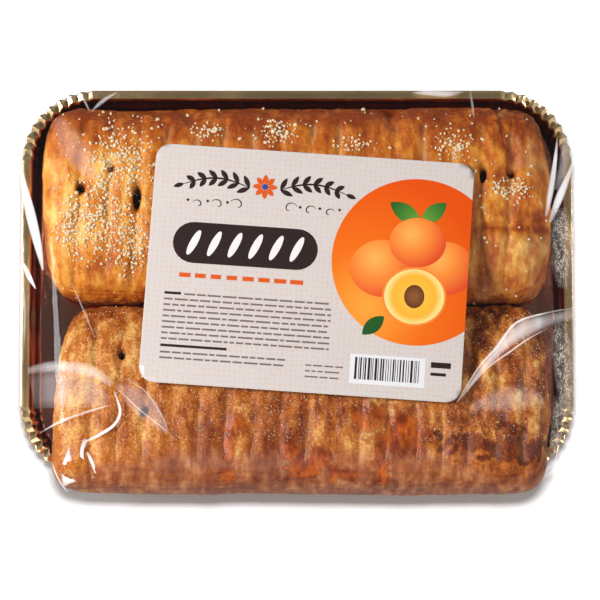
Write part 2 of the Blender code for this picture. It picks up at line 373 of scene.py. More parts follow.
def new_material(name):
    """A material with one Principled shader. Returns it with its node tree and shader."""
    material = bpy.data.materials.new(name)
    material.use_nodes = True
    tree = material.node_tree
    return material, tree, tree.nodes["Principled BSDF"]


def add_node(tree, kind, inputs=None, **values):
    """A new node with its settings and, by name or number, its inputs."""
    node = tree.nodes.new(kind)
    for name, value in values.items():
        setattr(node, name, value)
    set_inputs(tree, node, inputs or {})
    return node


def set_inputs(tree, node, inputs):
    """Links the inputs that vary over the surface, and sets the ones that are the same all over."""
    for name, value in inputs.items():
        socket = node.inputs[name]
        if isinstance(value, bpy.types.NodeSocket):
            tree.links.new(value, socket)
        elif isinstance(value, tuple) and len(value) < len(socket.default_value):
            socket.default_value = (*value, 1.0)
        else:
            socket.default_value = value


def noise_node(tree, source, scale, stretch=(1, 1, 1), detail=3, roughness=0.5):
    """Noise over the object's own space; a stretch under 1 draws it out along that axis."""
    mapping = add_node(tree, "ShaderNodeMapping", {"Scale": stretch, "Vector": source})
    return add_node(tree, "ShaderNodeTexNoise", {
        "Scale": scale, "Detail": detail, "Roughness": roughness, "Vector": mapping.outputs["Vector"],
    }).outputs["Fac"]


def ramp_node(tree, source, stops):
    """A colour ramp through (place, colour) stops."""
    node = add_node(tree, "ShaderNodeValToRGB")
    elements = node.color_ramp.elements
    while len(elements) < len(stops):
        elements.new(0.5)
    for element, (place, colour) in zip(elements, stops):
        element.position = place
        element.color = (*colour, 1.0)
    tree.links.new(source, node.inputs["Fac"])
    return node.outputs["Color"]


def mix_colours(tree, factor, first, second, blend="MIX"):
    """Blends two colours or colour sockets by a factor or factor socket."""
    inputs = {0: factor, 6: first, 7: second}
    return add_node(tree, "ShaderNodeMix", inputs, data_type="RGBA", blend_type=blend).outputs[2]


def math_node(tree, operation, first, second=0.0, third=0.0, clamp=False):
    inputs = {0: first, 1: second, 2: third}
    return add_node(tree, "ShaderNodeMath", inputs, operation=operation, use_clamp=clamp).outputs[0]


def map_range(tree, source, from_low, from_high, to_low, to_high):
    return add_node(tree, "ShaderNodeMapRange", {
        "Value": source, "From Min": from_low, "From Max": from_high, "To Min": to_low, "To Max": to_high,
    }).outputs["Result"]


def attribute_node(tree, name):
    return add_node(tree, "ShaderNodeAttribute", attribute_name=name).outputs["Fac"]


def bump_node(tree, height, strength, distance, normal=None):
    node = add_node(tree, "ShaderNodeBump", {"Strength": strength, "Distance": distance, "Height": height})
    if normal:
        set_inputs(tree, node, {"Normal": normal})
    return node.outputs["Normal"]


def object_space(tree):
    return add_node(tree, "ShaderNodeTexCoord").outputs["Object"]


def flat_place(tree):
    """The place on the label's flat sheet, as stored on the print's points."""
    return add_node(tree, "ShaderNodeAttribute", attribute_name="flat").outputs["Vector"]


# Crust

CRUST_PALE = srgb(248, 208, 134)
# Painted shade: the near black inside the crust's open slits
SLIT_SHADE = srgb(22, 10, 6)
JAM_TONES = ((0.38, srgb(124, 42, 4)), (0.62, srgb(200, 92, 12)))
JAM_RIM = srgb(96, 28, 6)
GREASE_TONES = ((0.36, srgb(130, 64, 36)), (0.50, srgb(166, 94, 56)), (0.64, srgb(208, 144, 98)))
BACK_STOPS = (
    (0.30, srgb(146, 60, 6)),
    (0.42, srgb(190, 98, 16)),
    (0.52, srgb(220, 142, 44)),
    (0.64, srgb(248, 196, 104)),
)
FRONT_STOPS = (
    (0.27, srgb(96, 34, 4)),
    (0.41, srgb(152, 72, 14)),
    (0.52, srgb(194, 112, 38)),
    (0.66, srgb(240, 188, 104)),
)


def crust_material(name, stops, grain):
    """Baked dough: blotched and streaked, with painted shade in its hollows and painted light on its lumps,
    pale where cut, and painted near-black shade in the open slits.
    """
    material, tree, shader = new_material(name)
    space = object_space(tree)
    cloud = noise_node(tree, space, 45, stretch=(1, 0.7, 1), detail=2)
    blotch = noise_node(tree, space, 190, stretch=(1, 0.6, 1), detail=3, roughness=0.6)
    fine = noise_node(tree, space, 900, detail=2)
    streak = noise_node(tree, space, 300, stretch=(1, 0.14, 0.3), detail=2)
    tone = math_node(tree, "MULTIPLY_ADD", blotch, 0.38, math_node(tree, "MULTIPLY", cloud, 0.36))
    tone = math_node(tree, "MULTIPLY_ADD", streak, 0.26, tone)
    tone = math_node(tree, "MULTIPLY_ADD", fine, grain, tone)
    tone = math_node(tree, "SUBTRACT", tone, grain / 2)
    # Painted shade and light: the fine relief's height darkens the hollows and lightens the lumps
    tone = math_node(tree, "MULTIPLY_ADD", attribute_node(tree, "height"), 0.055, tone)
    # Darkening from baking and from painted shade
    tone = math_node(tree, "SUBTRACT", tone, attribute_node(tree, "shade_and_browned"))
    colour = ramp_node(tree, tone, stops)
    colour = mix_colours(tree, attribute_node(tree, "pale"), colour, CRUST_PALE)
    wetted = math_node(tree, "MULTIPLY", math_node(tree, "ADD", blotch, streak), 0.5)
    colour = mix_colours(tree, attribute_node(tree, "grease"), colour, ramp_node(tree, wetted, GREASE_TONES))
    jam = attribute_node(tree, "jam")
    inside = map_range(tree, jam, 0.45, 0.85, 0.0, 1.0)
    jam_colour = mix_colours(tree, inside, JAM_RIM, ramp_node(tree, blotch, JAM_TONES))
    colour = mix_colours(tree, jam, colour, jam_colour)
    # Painted shade: the open slits are coloured near black
    colour = mix_colours(tree, attribute_node(tree, "pit"), colour, SLIT_SHADE)
    rough = map_range(tree, blotch, 0.35, 0.65, 0.36, 0.60)
    flakes = bump_node(tree, blotch, 0.45, 0.0009)
    set_inputs(tree, shader, {
        "Base Color": colour,
        "Roughness": math_node(tree, "MULTIPLY_ADD", jam, -0.14, rough),
        "Specular IOR Level": 0.30,
        "Normal": bump_node(tree, fine, 0.7, 0.0004, flakes),
    })
    return material


def sugar_material():
    """Cream-coloured crystals, faintly clear, with a fine tooth that glints."""
    material, tree, shader = new_material("sugar")
    grain = noise_node(tree, object_space(tree), 900, detail=2)
    set_inputs(tree, shader, {
        "Base Color": mix_colours(tree, grain, srgb(255, 226, 166), srgb(255, 243, 214)),
        "Roughness": 0.10,
        "Transmission Weight": 0.18,
        "IOR": 1.52,
        "Normal": bump_node(tree, grain, 0.3, 0.0001),
    })
    return material


# Rolls

def end_share(roll, x):
    """How much of the full section is left at x, where the pinched ends round off."""
    along = np.minimum(1.0, np.abs(x) / (roll.length / 2))
    return (1 - along**END_ROUNDING) ** END_SQUARENESS


def section_form(roll, x, angle):
    """The roll's smooth outer form in its own frame, for arrays of places along it and angles round it."""
    share = end_share(roll, x)
    sine, cosine = np.sin(angle), np.cos(angle)
    top = sine >= 0
    roundness = np.where(top, 2 / TOP_ROUNDNESS, 2 / BOTTOM_ROUNDNESS)
    across = roll.width / 2 * share * signed_power(cosine, roundness)
    lift = signed_power(sine, roundness)
    over = roll.belly + (roll.height - roll.belly) * share * lift
    under = np.maximum(0.0, roll.belly + roll.belly * BOTTOM_FLATTENING * share * lift)
    lean = np.where(x < 0, roll.end_lean[0], roll.end_lean[1]) * across / (roll.width / 2)
    lean = lean * smooth_step(1 - (roll.length / 2 - np.abs(x)) / LEAN_REACH)
    return np.stack([x - lean, across, np.where(top, over, under)], axis=-1)


def ring_places(roll):
    """Places along the roll, evenly spaced but drawn together where the ends close."""
    half = roll.length / 2
    closing = [half - 0.0009 * 0.5**k for k in range(9)]
    middle = np.linspace(-half + 0.0012, half - 0.0012, int(roll.length / RING_PITCH))
    return np.concatenate([[-x for x in reversed(closing)], middle, closing])


def section_turns():
    top = np.arange(TOP_SIDES) / TOP_SIDES * math.pi
    return np.concatenate([top, math.pi + np.arange(BOTTOM_SIDES) / BOTTOM_SIDES * math.pi])


def slit_places(roll):
    """Where the roll's crosswise slits lie along it, and how deep each is, with the solids' own draws."""
    draw = random.Random(roll.seed)
    return [
        (roll.first_slit + k * roll.slit_pitch + draw.uniform(-0.0005, 0.0005), draw.uniform(0.6, 1.1))
        for k in range(roll.slits)
    ]


class Relief(NamedTuple):
    """For each point, how far it is sunk below the smooth form and what is seen there."""

    sunk: np.ndarray
    groove: np.ndarray
    pit: np.ndarray
    on_top: np.ndarray


def groove_strength(roll, x):
    """The front roll's cuts have mostly baked shut, apart from those near its right end."""
    if roll is BACK_ROLL:
        return BACK_GROOVES
    return FRONT_GROOVES + (1 - FRONT_GROOVES) * rise(x, COARSE_FROM, 0.030)


def slit_relief(roll, form, angle):
    """Grooves pressed across the top, which waver and fade, and the pits where a slit has opened."""
    x, across = form[:, 0], form[:, 1]
    on_top = smooth_step((np.sin(angle) - 0.4) / 0.35)
    waver = 0.0011 * lattice_noise(form, 0.014, roll.seed + 5)
    lean = GROOVE_LEAN * np.cos(angle) + waver
    groove = np.zeros(len(form))
    pit = np.zeros(len(form))
    for k, (slit_x, share) in enumerate(slit_places(roll)):
        off = x - slit_x - lean
        broad = np.exp(-((off / GROOVE_HALF_WIDTH) ** 2))
        sharp = np.exp(-((off / (GROOVE_HALF_WIDTH * 0.35)) ** 2))
        groove += share * (0.75 * broad + 0.25 * sharp)
        if k in roll.pits:
            place, half_length = roll.pits[k]
            shape = (off / PIT_HALF_WIDTH) ** 2 + ((across - place) / half_length) ** 2
            pit = np.maximum(pit, 1 - smooth_step((np.sqrt(shape) - 0.55) / 0.65))
    fade = 0.70 + 0.75 * rough_noise(form, (0.010, 0.013, 0.02), roll.seed + 6, 2)
    groove *= on_top * np.clip(fade, 0.08, 1.25) * groove_strength(roll, x)
    return Relief(GROOVE_DEPTH * groove + PIT_DEPTH * pit, groove, pit, on_top)


def dent_relief(roll, form, angle):
    depth = np.zeros(len(form))
    for dent_x, place, half_length, half_width, most in roll.dents:
        shape = ((form[:, 0] - dent_x) / half_length) ** 2 + ((form[:, 1] - place) / half_width) ** 2
        depth += most * np.exp(-shape)
    return np.where(np.sin(angle) > 0, depth, 0.0)


class RollEnd(NamedTuple):
    """For each point of the back roll, its share in the forms at the right end."""

    flap: np.ndarray
    seam: np.ndarray
    bulge: np.ndarray
    burst: np.ndarray


def roll_end(form):
    """A torn flap on the far side, a seam with a burst hollow above it, and a smooth bulge below it."""
    x, across = form[:, 0], form[:, 1]
    ragged = 0.0014 * rough_noise(form, (0.02, 0.004, 0.02), 51, 2)
    flap_edge = 0.0915 + 0.215 * (0.0416 - across) + ragged
    flap = rise(x, flap_edge, 0.0011) * rise(across, 0.012, 0.005)
    off_seam = across - SEAM_ACROSS - 0.0012 * rough_noise(form, (0.010, 0.02, 0.02), 53, 2)
    right = rise(x, SEAM_START, 0.008)
    seam = np.exp(-((off_seam / SEAM_HALF_WIDTH) ** 2)) * right
    bulge = smooth_step(-off_seam / 0.005) * right
    off_burst = ((x - BURST_MIDDLE[0]) / BURST_SIZE[0]) ** 2
    off_burst += ((across - BURST_MIDDLE[1]) / BURST_SIZE[1]) ** 2
    burst = np.exp(-off_burst)
    return RollEnd(flap, seam, bulge, burst)


def end_relief(form, angle):
    """How far the right end's forms and the wavy far edge sink the back roll's surface."""
    end = roll_end(form)
    sunk = FLAP_STEP * end.flap + SEAM_DEPTH * end.seam - BULGE_RISE * end.bulge + BURST_DEPTH * end.burst
    wave = 0.5 + 0.6 * rough_noise(form, (0.016, 0.2, 0.2), 57, 2)
    sunk += FAR_WAVES * wave * rise(form[:, 1], 0.032, 0.012)
    return sunk * smooth_step((np.sin(angle) + 0.1) / 0.3) * end_share(BACK_ROLL, form[:, 0])


def fine_relief(roll, points, angle, on_top):
    """Lumps, blisters and grit, coarser at the right ends and finer near the front, and layered sides."""
    lumps = rough_noise(points, (0.0060, 0.0085, 0.0070), roll.seed + 8, 2)
    blisters = rough_noise(points, (0.0026, 0.0036, 0.0030), roll.seed + 9, 2)
    grit = lattice_noise(points, 0.0011, roll.seed + 12)
    if roll is FRONT_ROLL:
        coarse = FRONT_COARSENESS + 1.7 * rise(points[:, 0], COARSE_FROM, 0.03)
        coarse *= 1 - 0.75 * rise(points[:, 1], -0.022, -0.008)
    else:
        coarse = BACK_COARSENESS + 0.8 * rise(points[:, 0], 0.078, 0.015)
    height = coarse * FINE_HEIGHT * (lumps + 0.75 * np.maximum(blisters, -0.4) + 0.225 * grit)
    drift = 1.4 * rough_noise(points, (0.03, 0.02, 0.012), roll.seed + 14, 2)
    layers = np.abs(np.sin(math.pi * (points[:, 2] / LAYER_PITCH + drift)))
    on_side = (1 - on_top) * smooth_step((np.sin(angle) + 0.75) / 0.35)
    return height - LAYER_DEPTH * on_side * (1 - layers) ** 3


def stain(points, spots, seed):
    """How far each point lies inside ragged spots that are given in pixels."""
    share = np.zeros(len(points))
    edge = 0.60 * rough_noise(points, 0.0065, seed, 2) + 0.85 * rough_noise(points, 0.0024, seed + 7, 3)
    for x, y, wide, tall in spots:
        centre = pixel_at_height(x, y, STAIN_HEIGHT)
        reach = ((points[:, 0] - centre.x) / (wide * METRES_A_PIXEL)) ** 2
        reach += ((points[:, 1] - centre.y) / (tall * METRES_A_PIXEL)) ** 2
        share = np.maximum(share, smooth_step((1.28 + edge - np.sqrt(reach)) / 0.42))
    return share


def grease_spread(points):
    """The smooth band along the near side, lower at its ends, where grease has wetted the dough."""
    limit = pixel_at_height(*BAND_EDGE, BAND_HEIGHT).y
    ends = rise(points[:, 0], 0.055, 0.012) + rise(points[:, 0], -0.062, -0.02)
    limit = limit - 0.0070 * ends
    spread = 0.009 * rough_noise(points, (0.016, 0.012, 0.02), 71, 4)
    patchy = 0.80 + 0.35 * rough_noise(points, (0.007, 0.006, 0.007), 75, 3)
    return smooth_step((limit - points[:, 1] + spread) / 0.006) * np.clip(patchy, 0.3, 1.0)


# Jam that has leaked against the film: (x, y) of the middle, half width and half height, in pixels
JAM_STAINS = (
    (234, 428, 12, 9),
    (229, 452, 5, 14),
    (228, 477, 8, 7),
    (292, 455, 9, 9),
    (297, 470, 20, 9),
    (320, 460, 10, 10),
    (334, 476, 5, 10),
    (346, 476, 9, 6),
    (374, 418, 22, 14),
    (398, 438, 23, 19),
    (380, 456, 8, 14),
    (382, 478, 8, 8),
)
# Dark baked-on caramel, in the same way
CARAMEL_STAINS = (
    (468, 444, 24, 10),
    (512, 450, 34, 12),
    (502, 432, 16, 8),
)


def placing(roll):
    place = Matrix.Translation(Vector(roll.middle) + TRAY_MIDDLE)
    return place @ Matrix.Rotation(-roll.raised, 4, "X")


def roll_mesh(roll):
    """The roll's surface as one closed skin, with what each point looks like stored on it."""
    x, angle = np.meshgrid(ring_places(roll), section_turns(), indexing="ij")
    rows, columns = x.shape
    form = section_form(roll, x, angle).reshape(-1, 3)
    angle = angle.reshape(-1)
    slits = slit_relief(roll, form, angle)
    lumps = RELIEF_BALANCE + rough_noise(form + roll.seed, LUMP_SIZE, roll.seed + 3, 2)
    sunk = slits.sunk + dent_relief(roll, form, angle)
    if roll is BACK_ROLL:
        sunk += end_relief(form, angle)
    sunk += LUMP_HEIGHT * lumps * end_share(roll, form[:, 0])
    core = form * np.array([1.0, 0.0, 0.0]) + np.array([0.0, 0.0, roll.belly])
    outward = form - core
    outward /= np.maximum(np.linalg.norm(outward, axis=1, keepdims=True), 1e-6)
    points = form - outward * sunk[:, None]
    tips = np.array([points[:columns].mean(axis=0), points[-columns:].mean(axis=0)])
    faces = grid_faces(rows, columns, closed_columns=True).tolist()
    last = rows * columns
    start = (rows - 1) * columns
    for j in range(columns):
        after = (j + 1) % columns
        faces.append((last, after, j))
        faces.append((last + 1, start + j, start + after))
    mesh = mesh_from(roll.node, np.concatenate([points, tips]), faces)
    normals = normals_of(mesh)[:last]
    fine = fine_relief(roll, points, angle, slits.on_top)
    swell = fine
    if roll is FRONT_ROLL:
        swell = fine + NEAR_SWELL * rise(points[:, 1], -0.024, -0.014)
    points = points + normals * swell[:, None]
    points[:, 2] = np.maximum(points[:, 2], 0.0)
    world = np.array(placing(roll))
    whole = np.concatenate([points, tips]) @ world[:3, :3].T + world[:3, 3]
    mesh.vertices.foreach_set("co", whole.astype(np.float32).ravel())
    mesh.update()
    # The relief's height, which also drives the painted shade in the hollows and painted light on the lumps
    set_attribute(mesh, "height", np.concatenate([fine / FINE_HEIGHT, np.zeros(2)]))
    paint_roll(roll, mesh, whole, slits)
    return mesh


def paint_roll(roll, mesh, points, slits):
    """Stores the groove, pit, jam, grease, and the darkening from baking and from painted shade, of each
    point on the mesh.
    """
    shown = (slits.groove, slits.pit, slits.on_top)
    groove, pit, on_top = (np.append(values, (0.0, 0.0)) for values in shown)
    patchy = 0.5 + 0.5 * rough_noise(points, (0.006, 0.014, 0.01), roll.seed + 21, 3)
    pale = np.clip(groove - 0.25, 0, 1) * np.clip(patchy * 1.6 - 0.2, 0, 1) * 0.85
    shade_and_brown = 0.038 * rough_noise(points, 0.028, roll.seed + 25, 2)
    # Darker on the roll's sides
    side = 0.05 * (1 - on_top)
    if roll is FRONT_ROLL:
        jam = stain(points, JAM_STAINS, JAM_SEED)
        caramel = stain(points, CARAMEL_STAINS, CARAMEL_SEED)
        grease = grease_spread(points) * (1 - 0.8 * caramel)
        pale *= 0.55
        # Front roll: the caramel is baked darker, and painted light makes the left end paler, as if lit from
        # the left
        shade_and_brown = shade_and_brown + 0.065 * rise(points[:, 0], -0.085, 0.06) - 0.018 + 0.19 * caramel
    else:
        jam = np.zeros(len(points))
        own = points - np.array(TRAY_MIDDLE) - np.array(roll.middle)
        end = roll_end(own)
        grease = 0.75 * end.bulge * np.clip(patchy * 1.5 - 0.1, 0.2, 1)
        pale = np.maximum(pale, 0.50 * end.flap * np.clip(patchy * 2 - 0.9, 0, 1))
        # Painted shade in the burst hollow and along the seam; the flap is patchily a little darker
        shade_and_brown = shade_and_brown + 0.20 * end.burst + 0.17 * end.seam + 0.03 * end.flap * (1 - patchy)
        # Painted shade: darker towards the far side
        shade_and_brown = shade_and_brown + 0.11 * rise(own[:, 1], 0.018, 0.016)
        # Painted light: the left end paler, as if lit from the left
        shade_and_brown = shade_and_brown + 0.045 * rise(points[:, 0], -0.08, 0.06) - 0.015
    set_attribute(mesh, "pale", pale)
    # Where the open slits get their painted near-black shade
    set_attribute(mesh, "pit", rise(pit, 0.25, 0.5))
    set_attribute(mesh, "jam", jam * 0.84)
    set_attribute(mesh, "grease", grease * 0.78)
    set_attribute(mesh, "shade_and_browned", shade_and_brown + side)


def make_roll(roll, stops, grain):
    mesh = roll_mesh(roll)
    crust = crust_material("crust_" + roll.node, stops, grain)
    obj = add_object(roll.node + "_crust", mesh, crust)
    slot = "crust_back" if roll is BACK_ROLL else "crust_front"
    ride(obj, slot, roll.node)
    return tree_of(mesh)


# Sugar

# Where coarse sugar lies thickest on the back roll: (x, y) of the middle and half sizes, in pixels
SUGAR_PATCHES = (
    (118, 160, 34, 34),
    (95, 215, 34, 34),
    (130, 245, 26, 26),
    (70, 225, 16, 26),
    (280, 130, 20, 14),
    (452, 145, 18, 16),
    (512, 190, 20, 12),
    (208, 130, 16, 9),
    (352, 143, 16, 8),
)


def crystal_template():
    bm = bmesh.new()
    bmesh.ops.create_icosphere(bm, subdivisions=1, radius=1.0)
    points = np.array([tuple(vertex.co) for vertex in bm.verts])
    faces = np.array([[vertex.index for vertex in face.verts] for face in bm.faces])
    bm.free()
    return points, faces


def crystals_mesh(name, places):
    """Many knocked-about crystals in one mesh, one for each place of (point, normal, radius)."""
    draw = np.random.default_rng(len(name) * 7 + len(places))
    template, template_faces = crystal_template()
    points, faces = [], []
    for k, (point, normal, radius) in enumerate(places):
        shape = template * draw.uniform(0.62, 1.15, 3) * (1 + draw.uniform(-0.18, 0.18, (len(template), 1)))
        turn = Euler(draw.uniform(0, math.tau, 3)).to_matrix()
        shape = shape @ np.array(turn).T * radius
        points.append(shape + np.array(point + normal * radius * 0.35))
        faces.append(template_faces + k * len(template))
    return mesh_from(name, np.concatenate(points), np.concatenate(faces).tolist(), smooth=False)


def sugar_places(tree, patches, count, radii, seed, spread):
    """Random places on a roll, seen from above: most in the patches, if any, the rest all over."""
    draw = random.Random(seed)
    low_x, high_x, low_y, high_y = spread
    places = []
    for _ in range(count):
        if patches and draw.random() < SHARE_IN_PATCHES:
            x, y, wide, tall = draw.choices(patches, [w * t for _, _, w, t in patches])[0]
            spot = pixel_at_height(draw.gauss(x, wide * 0.55), draw.gauss(y, tall * 0.55), SUGAR_HEIGHT)
        else:
            spot = Vector((draw.uniform(low_x, high_x), draw.uniform(low_y, high_y), 0.0))
        hit, normal, _, _ = tree.ray_cast(Vector((spot.x, spot.y, ABOVE_ALL)), Vector((0, 0, -1)))
        if hit is None or normal.z < 0.3:
            continue
        places.append((hit, normal, draw.uniform(*radii) * (0.7 + 0.6 * draw.random() ** 2)))
    return places


def dry_places(places):
    """The places that neither jam nor grease has wetted."""
    points = np.array([tuple(point) for point, _, _ in places])
    wet = stain(points, JAM_STAINS, JAM_SEED) + grease_spread(points)
    return [place for place, share in zip(places, wet) if share < 0.4]


def make_sugar(back_tree, front_tree):
    sugar = sugar_material()
    low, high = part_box("strudel_back")
    spread = (low.x, high.x, low.y, high.y)
    coarse = sugar_places(back_tree, SUGAR_PATCHES, COARSE_GRAINS, GRAIN_RADIUS, 5, spread)
    low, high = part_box("strudel_front")
    spread = (low.x, high.x, low.y + 0.02, high.y)
    fine = dry_places(sugar_places(front_tree, (), FINE_GRAINS, FINE_GRAIN_RADIUS, 6, spread))
    for side, places in (("back", coarse), ("front", fine)):
        node = "strudel_" + side
        name = node + "_sugar"
        ride(add_object(name, crystals_mesh(name, places), sugar), "crust_" + side, node)


# Tray

def gold_material():
    """Gold foil on pressed board: polished and faintly dimpled, paler on the rim, and rosier on the floor as
    a painted reflection of the rolls.
    """
    material, tree, shader = new_material("gold_foil")
    space = object_space(tree)
    broad = noise_node(tree, space, 60, detail=3)
    fine = noise_node(tree, space, 900, detail=2)
    crinkle = noise_node(tree, space, 330, detail=3)
    rim = attribute_node(tree, "rim")
    colour = ramp_node(tree, broad, ((0.3, srgb(204, 146, 62)), (0.7, srgb(246, 200, 104))))
    # Painted reflection: the foil floor is tinted rosy, as if it mirrored the rolls
    colour = mix_colours(tree, attribute_node(tree, "floor"), colour, srgb(196, 132, 112))
    colour = mix_colours(tree, math_node(tree, "MULTIPLY", rim, 0.8), colour, srgb(255, 224, 172))
    dimples = bump_node(tree, fine, 0.10, 0.0002)
    crumpled = bump_node(tree, crinkle, 0.30, 0.0004, dimples)
    set_inputs(tree, shader, {
        "Base Color": colour,
        "Metallic": 1.0,
        "Roughness": math_node(tree, "MULTIPLY_ADD", rim, 0.10, map_range(tree, broad, 0.3, 0.7, 0.06, 0.14)),
        "Normal": bump_node(tree, broad, 0.25, 0.0012, crumpled),
    })
    return material


def tray_outline(steps_a_side=60):
    """Points round the tray, each (corner centre x, y, way x, y, fold), with pleats round the corners."""
    outline = []
    steps = PLEATS_A_CORNER * STEPS_A_PLEAT
    for corner in range(4):
        side_x = 1 if corner in (0, 3) else -1
        side_y = 1 if corner in (0, 1) else -1
        centre_x = side_x * (TRAY_LENGTH / 2 - TRAY_CORNER)
        centre_y = side_y * (TRAY_DEPTH / 2 - TRAY_CORNER)
        for step in range(steps + 1):
            angle = (corner + step / steps) * math.pi / 2
            fold = abs((step / STEPS_A_PLEAT) % 1 - 0.5) * 2
            strength = math.sin(step / steps * math.pi) ** 0.35
            outline.append((centre_x, centre_y, math.cos(angle), math.sin(angle), (fold - 1) * strength))
    return outline


def tray_loop(outline, inset, z, pleat, lift):
    """One loop of the tray's profile. Folded-in points move in by pleat and up or down by lift."""
    loop = []
    for centre_x, centre_y, way_x, way_y, fold in outline:
        reach = TRAY_CORNER - inset + pleat * fold
        loop.append((centre_x + reach * way_x, centre_y + reach * way_y, z + lift * fold))
    return loop


def make_tray():
    """Floor, leaning wall and flat rim with a turned-down lip, pleated round the corners."""
    floor_inset = RIM_WIDTH + WALL_RUN
    deep, slight = 0.0012, 0.0009
    profile = (
        (floor_inset - BOARD, TRAY_STAND, 0.0, 0.0, 0.0),
        (RIM_WIDTH - BOARD, TRAY_HEIGHT - BOARD, deep, 0.0, 0.0),
        (BOARD, TRAY_HEIGHT - BOARD, deep, 0.0, 1.0),
        (BOARD, TRAY_HEIGHT - LIP_DROP, deep, 0.0, 1.0),
        (0.0, TRAY_HEIGHT - LIP_DROP, deep, 0.0, 1.0),
        (0.0, TRAY_HEIGHT - RIM_EDGE, deep, slight, 1.0),
        (RIM_EDGE * 0.3, TRAY_HEIGHT - RIM_EDGE * 0.3, deep, slight, 1.0),
        (RIM_EDGE, TRAY_HEIGHT, deep, slight, 1.0),
        (RIM_WIDTH * 0.5, TRAY_HEIGHT - 0.0001, deep, slight * 1.5, 1.0),
        (RIM_WIDTH - RIM_EDGE, TRAY_HEIGHT, deep, slight, 1.0),
        (RIM_WIDTH, TRAY_HEIGHT - RIM_EDGE, deep, slight, 0.3),
        (RIM_WIDTH + RIM_EDGE, TRAY_HEIGHT - 3 * RIM_EDGE, deep, 0.0, 0.0),
        (RIM_WIDTH + WALL_RUN * 0.5, TRAY_HEIGHT * 0.5, deep, 0.0, 0.0),
        (floor_inset - RIM_EDGE, BOARD + FLOOR_BEND, deep * 0.7, 0.0, 0.0),
        (floor_inset + FLOOR_BEND * 0.3, BOARD + FLOOR_BEND * 0.3, deep * 0.4, 0.0, 0.0),
        (floor_inset + FLOOR_BEND, BOARD, 0.0, 0.0, 0.0),
        (floor_inset + FLOOR_BEND * 2, BOARD, 0.0, 0.0, 0.0),
    )
    outline = tray_outline()
    loops = np.array([tray_loop(outline, inset, z, pleat, lift) for inset, z, pleat, lift, _ in profile])
    rows, columns = loops.shape[:2]
    points = loops.reshape(-1, 3) + np.array(TRAY_MIDDLE)
    faces = grid_faces(rows, columns, closed_columns=True).tolist()
    faces.append(tuple(range(columns - 1, -1, -1)))
    faces.append(tuple(range((rows - 1) * columns, rows * columns)))
    mesh = mesh_from("tray_foil", points, faces)
    mesh.set_sharp_from_angle(angle=math.radians(28))
    set_attribute(mesh, "rim", np.repeat([row[4] for row in profile], columns))
    # Where the foil floor gets its painted rosy reflection
    set_attribute(mesh, "floor", 1 - rise(points[:, 2], BOARD, 0.004))
    ride(add_object("tray_foil", mesh, gold_material()), "gold_board", "tray")


# Film

def film_material():
    """Thin clear film: it lets nearly all light through and mirrors more of it the more aslant it is seen."""
    material = bpy.data.materials.new("clear_film")
    material.use_nodes = True
    tree = material.node_tree
    tree.nodes.clear()
    space = object_space(tree)
    crinkle = noise_node(tree, space, 160, detail=2)
    wave = noise_node(tree, space, 34, detail=2)
    normal = bump_node(tree, crinkle, 0.10, 0.0004, bump_node(tree, wave, 0.30, 0.0016))
    clear = add_node(tree, "ShaderNodeBsdfTransparent", {"Color": (0.985, 0.985, 0.99)})
    gloss = add_node(tree, "ShaderNodeBsdfPrincipled", {
        "Base Color": (0.9, 0.92, 0.95), "Metallic": 1.0, "Roughness": 0.045, "Normal": normal,
    })
    fresnel = add_node(tree, "ShaderNodeFresnel", {"IOR": 1.5, "Normal": normal})
    mirrored = math_node(tree, "MULTIPLY", fresnel.outputs["Fac"], 1.1)
    share = math_node(tree, "MINIMUM", mirrored, FILM_MOST_MIRROR)
    inputs = {0: share, 1: clear.outputs["BSDF"], 2: gloss.outputs["BSDF"]}
    mix = add_node(tree, "ShaderNodeMixShader", inputs)
    add_node(tree, "ShaderNodeOutputMaterial", {"Surface": mix.outputs["Shader"]})
    return material


def film_envelope():
    """The taut outer skin of the film's solid."""
    bm = bmesh.new()
    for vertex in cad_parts["film"].data.vertices:
        bm.verts.new(vertex.co)
    hull = bmesh.ops.convex_hull(bm, input=bm.verts)
    bmesh.ops.delete(bm, geom=list(set(hull["geom_interior"] + hull["geom_unused"])), context="VERTS")
    bmesh.ops.recalc_face_normals(bm, faces=bm.faces)
    mesh = bpy.data.meshes.new("film_envelope")
    bm.to_mesh(mesh)
    bm.free()
    return mesh


def remeshed(mesh, voxel, passes):
    """The mesh as even small faces, smoothed."""
    obj = add_object("film_work", mesh)
    remesh = obj.modifiers.new("even", "REMESH")
    remesh.mode = "VOXEL"
    remesh.voxel_size = voxel
    smooth = obj.modifiers.new("soft", "SMOOTH")
    smooth.factor = 0.5
    smooth.iterations = passes
    graph = bpy.context.evaluated_depsgraph_get()
    result = bpy.data.meshes.new_from_object(obj.evaluated_get(graph))
    bpy.data.objects.remove(obj)
    return result


def make_film(envelope):
    mesh = remeshed(envelope, FILM_VOXEL, 8)
    points = np.empty(len(mesh.vertices) * 3, dtype=np.float32)
    mesh.vertices.foreach_get("co", points)
    points = points.reshape(-1, 3).astype(float)
    normals = normals_of(mesh)
    ripple = FILM_RIPPLE * rough_noise(points, (0.030, 0.022, 0.03), 91, 2)
    steep = 1 - rise(normals[:, 2], 0.35, 0.35)
    near = rise(normals[:, 1], -0.3, -0.4)
    points += normals * (ripple + FILM_EASE * steep * (1 + near))[:, None]
    under = (normals[:, 2] < -0.7) & (points[:, 2] < FILM_VOXEL)
    points[:, 2] = np.where(under, FILM_UNDERSIDE, np.maximum(points[:, 2], FILM_UNDERSIDE))
    mesh.vertices.foreach_set("co", points.astype(np.float32).ravel())
    mesh.update()
    mesh.shade_smooth()
    film = ride(add_object("film_skin", mesh, film_material()), "clear_film", "film")
    return film, tree_of(mesh)


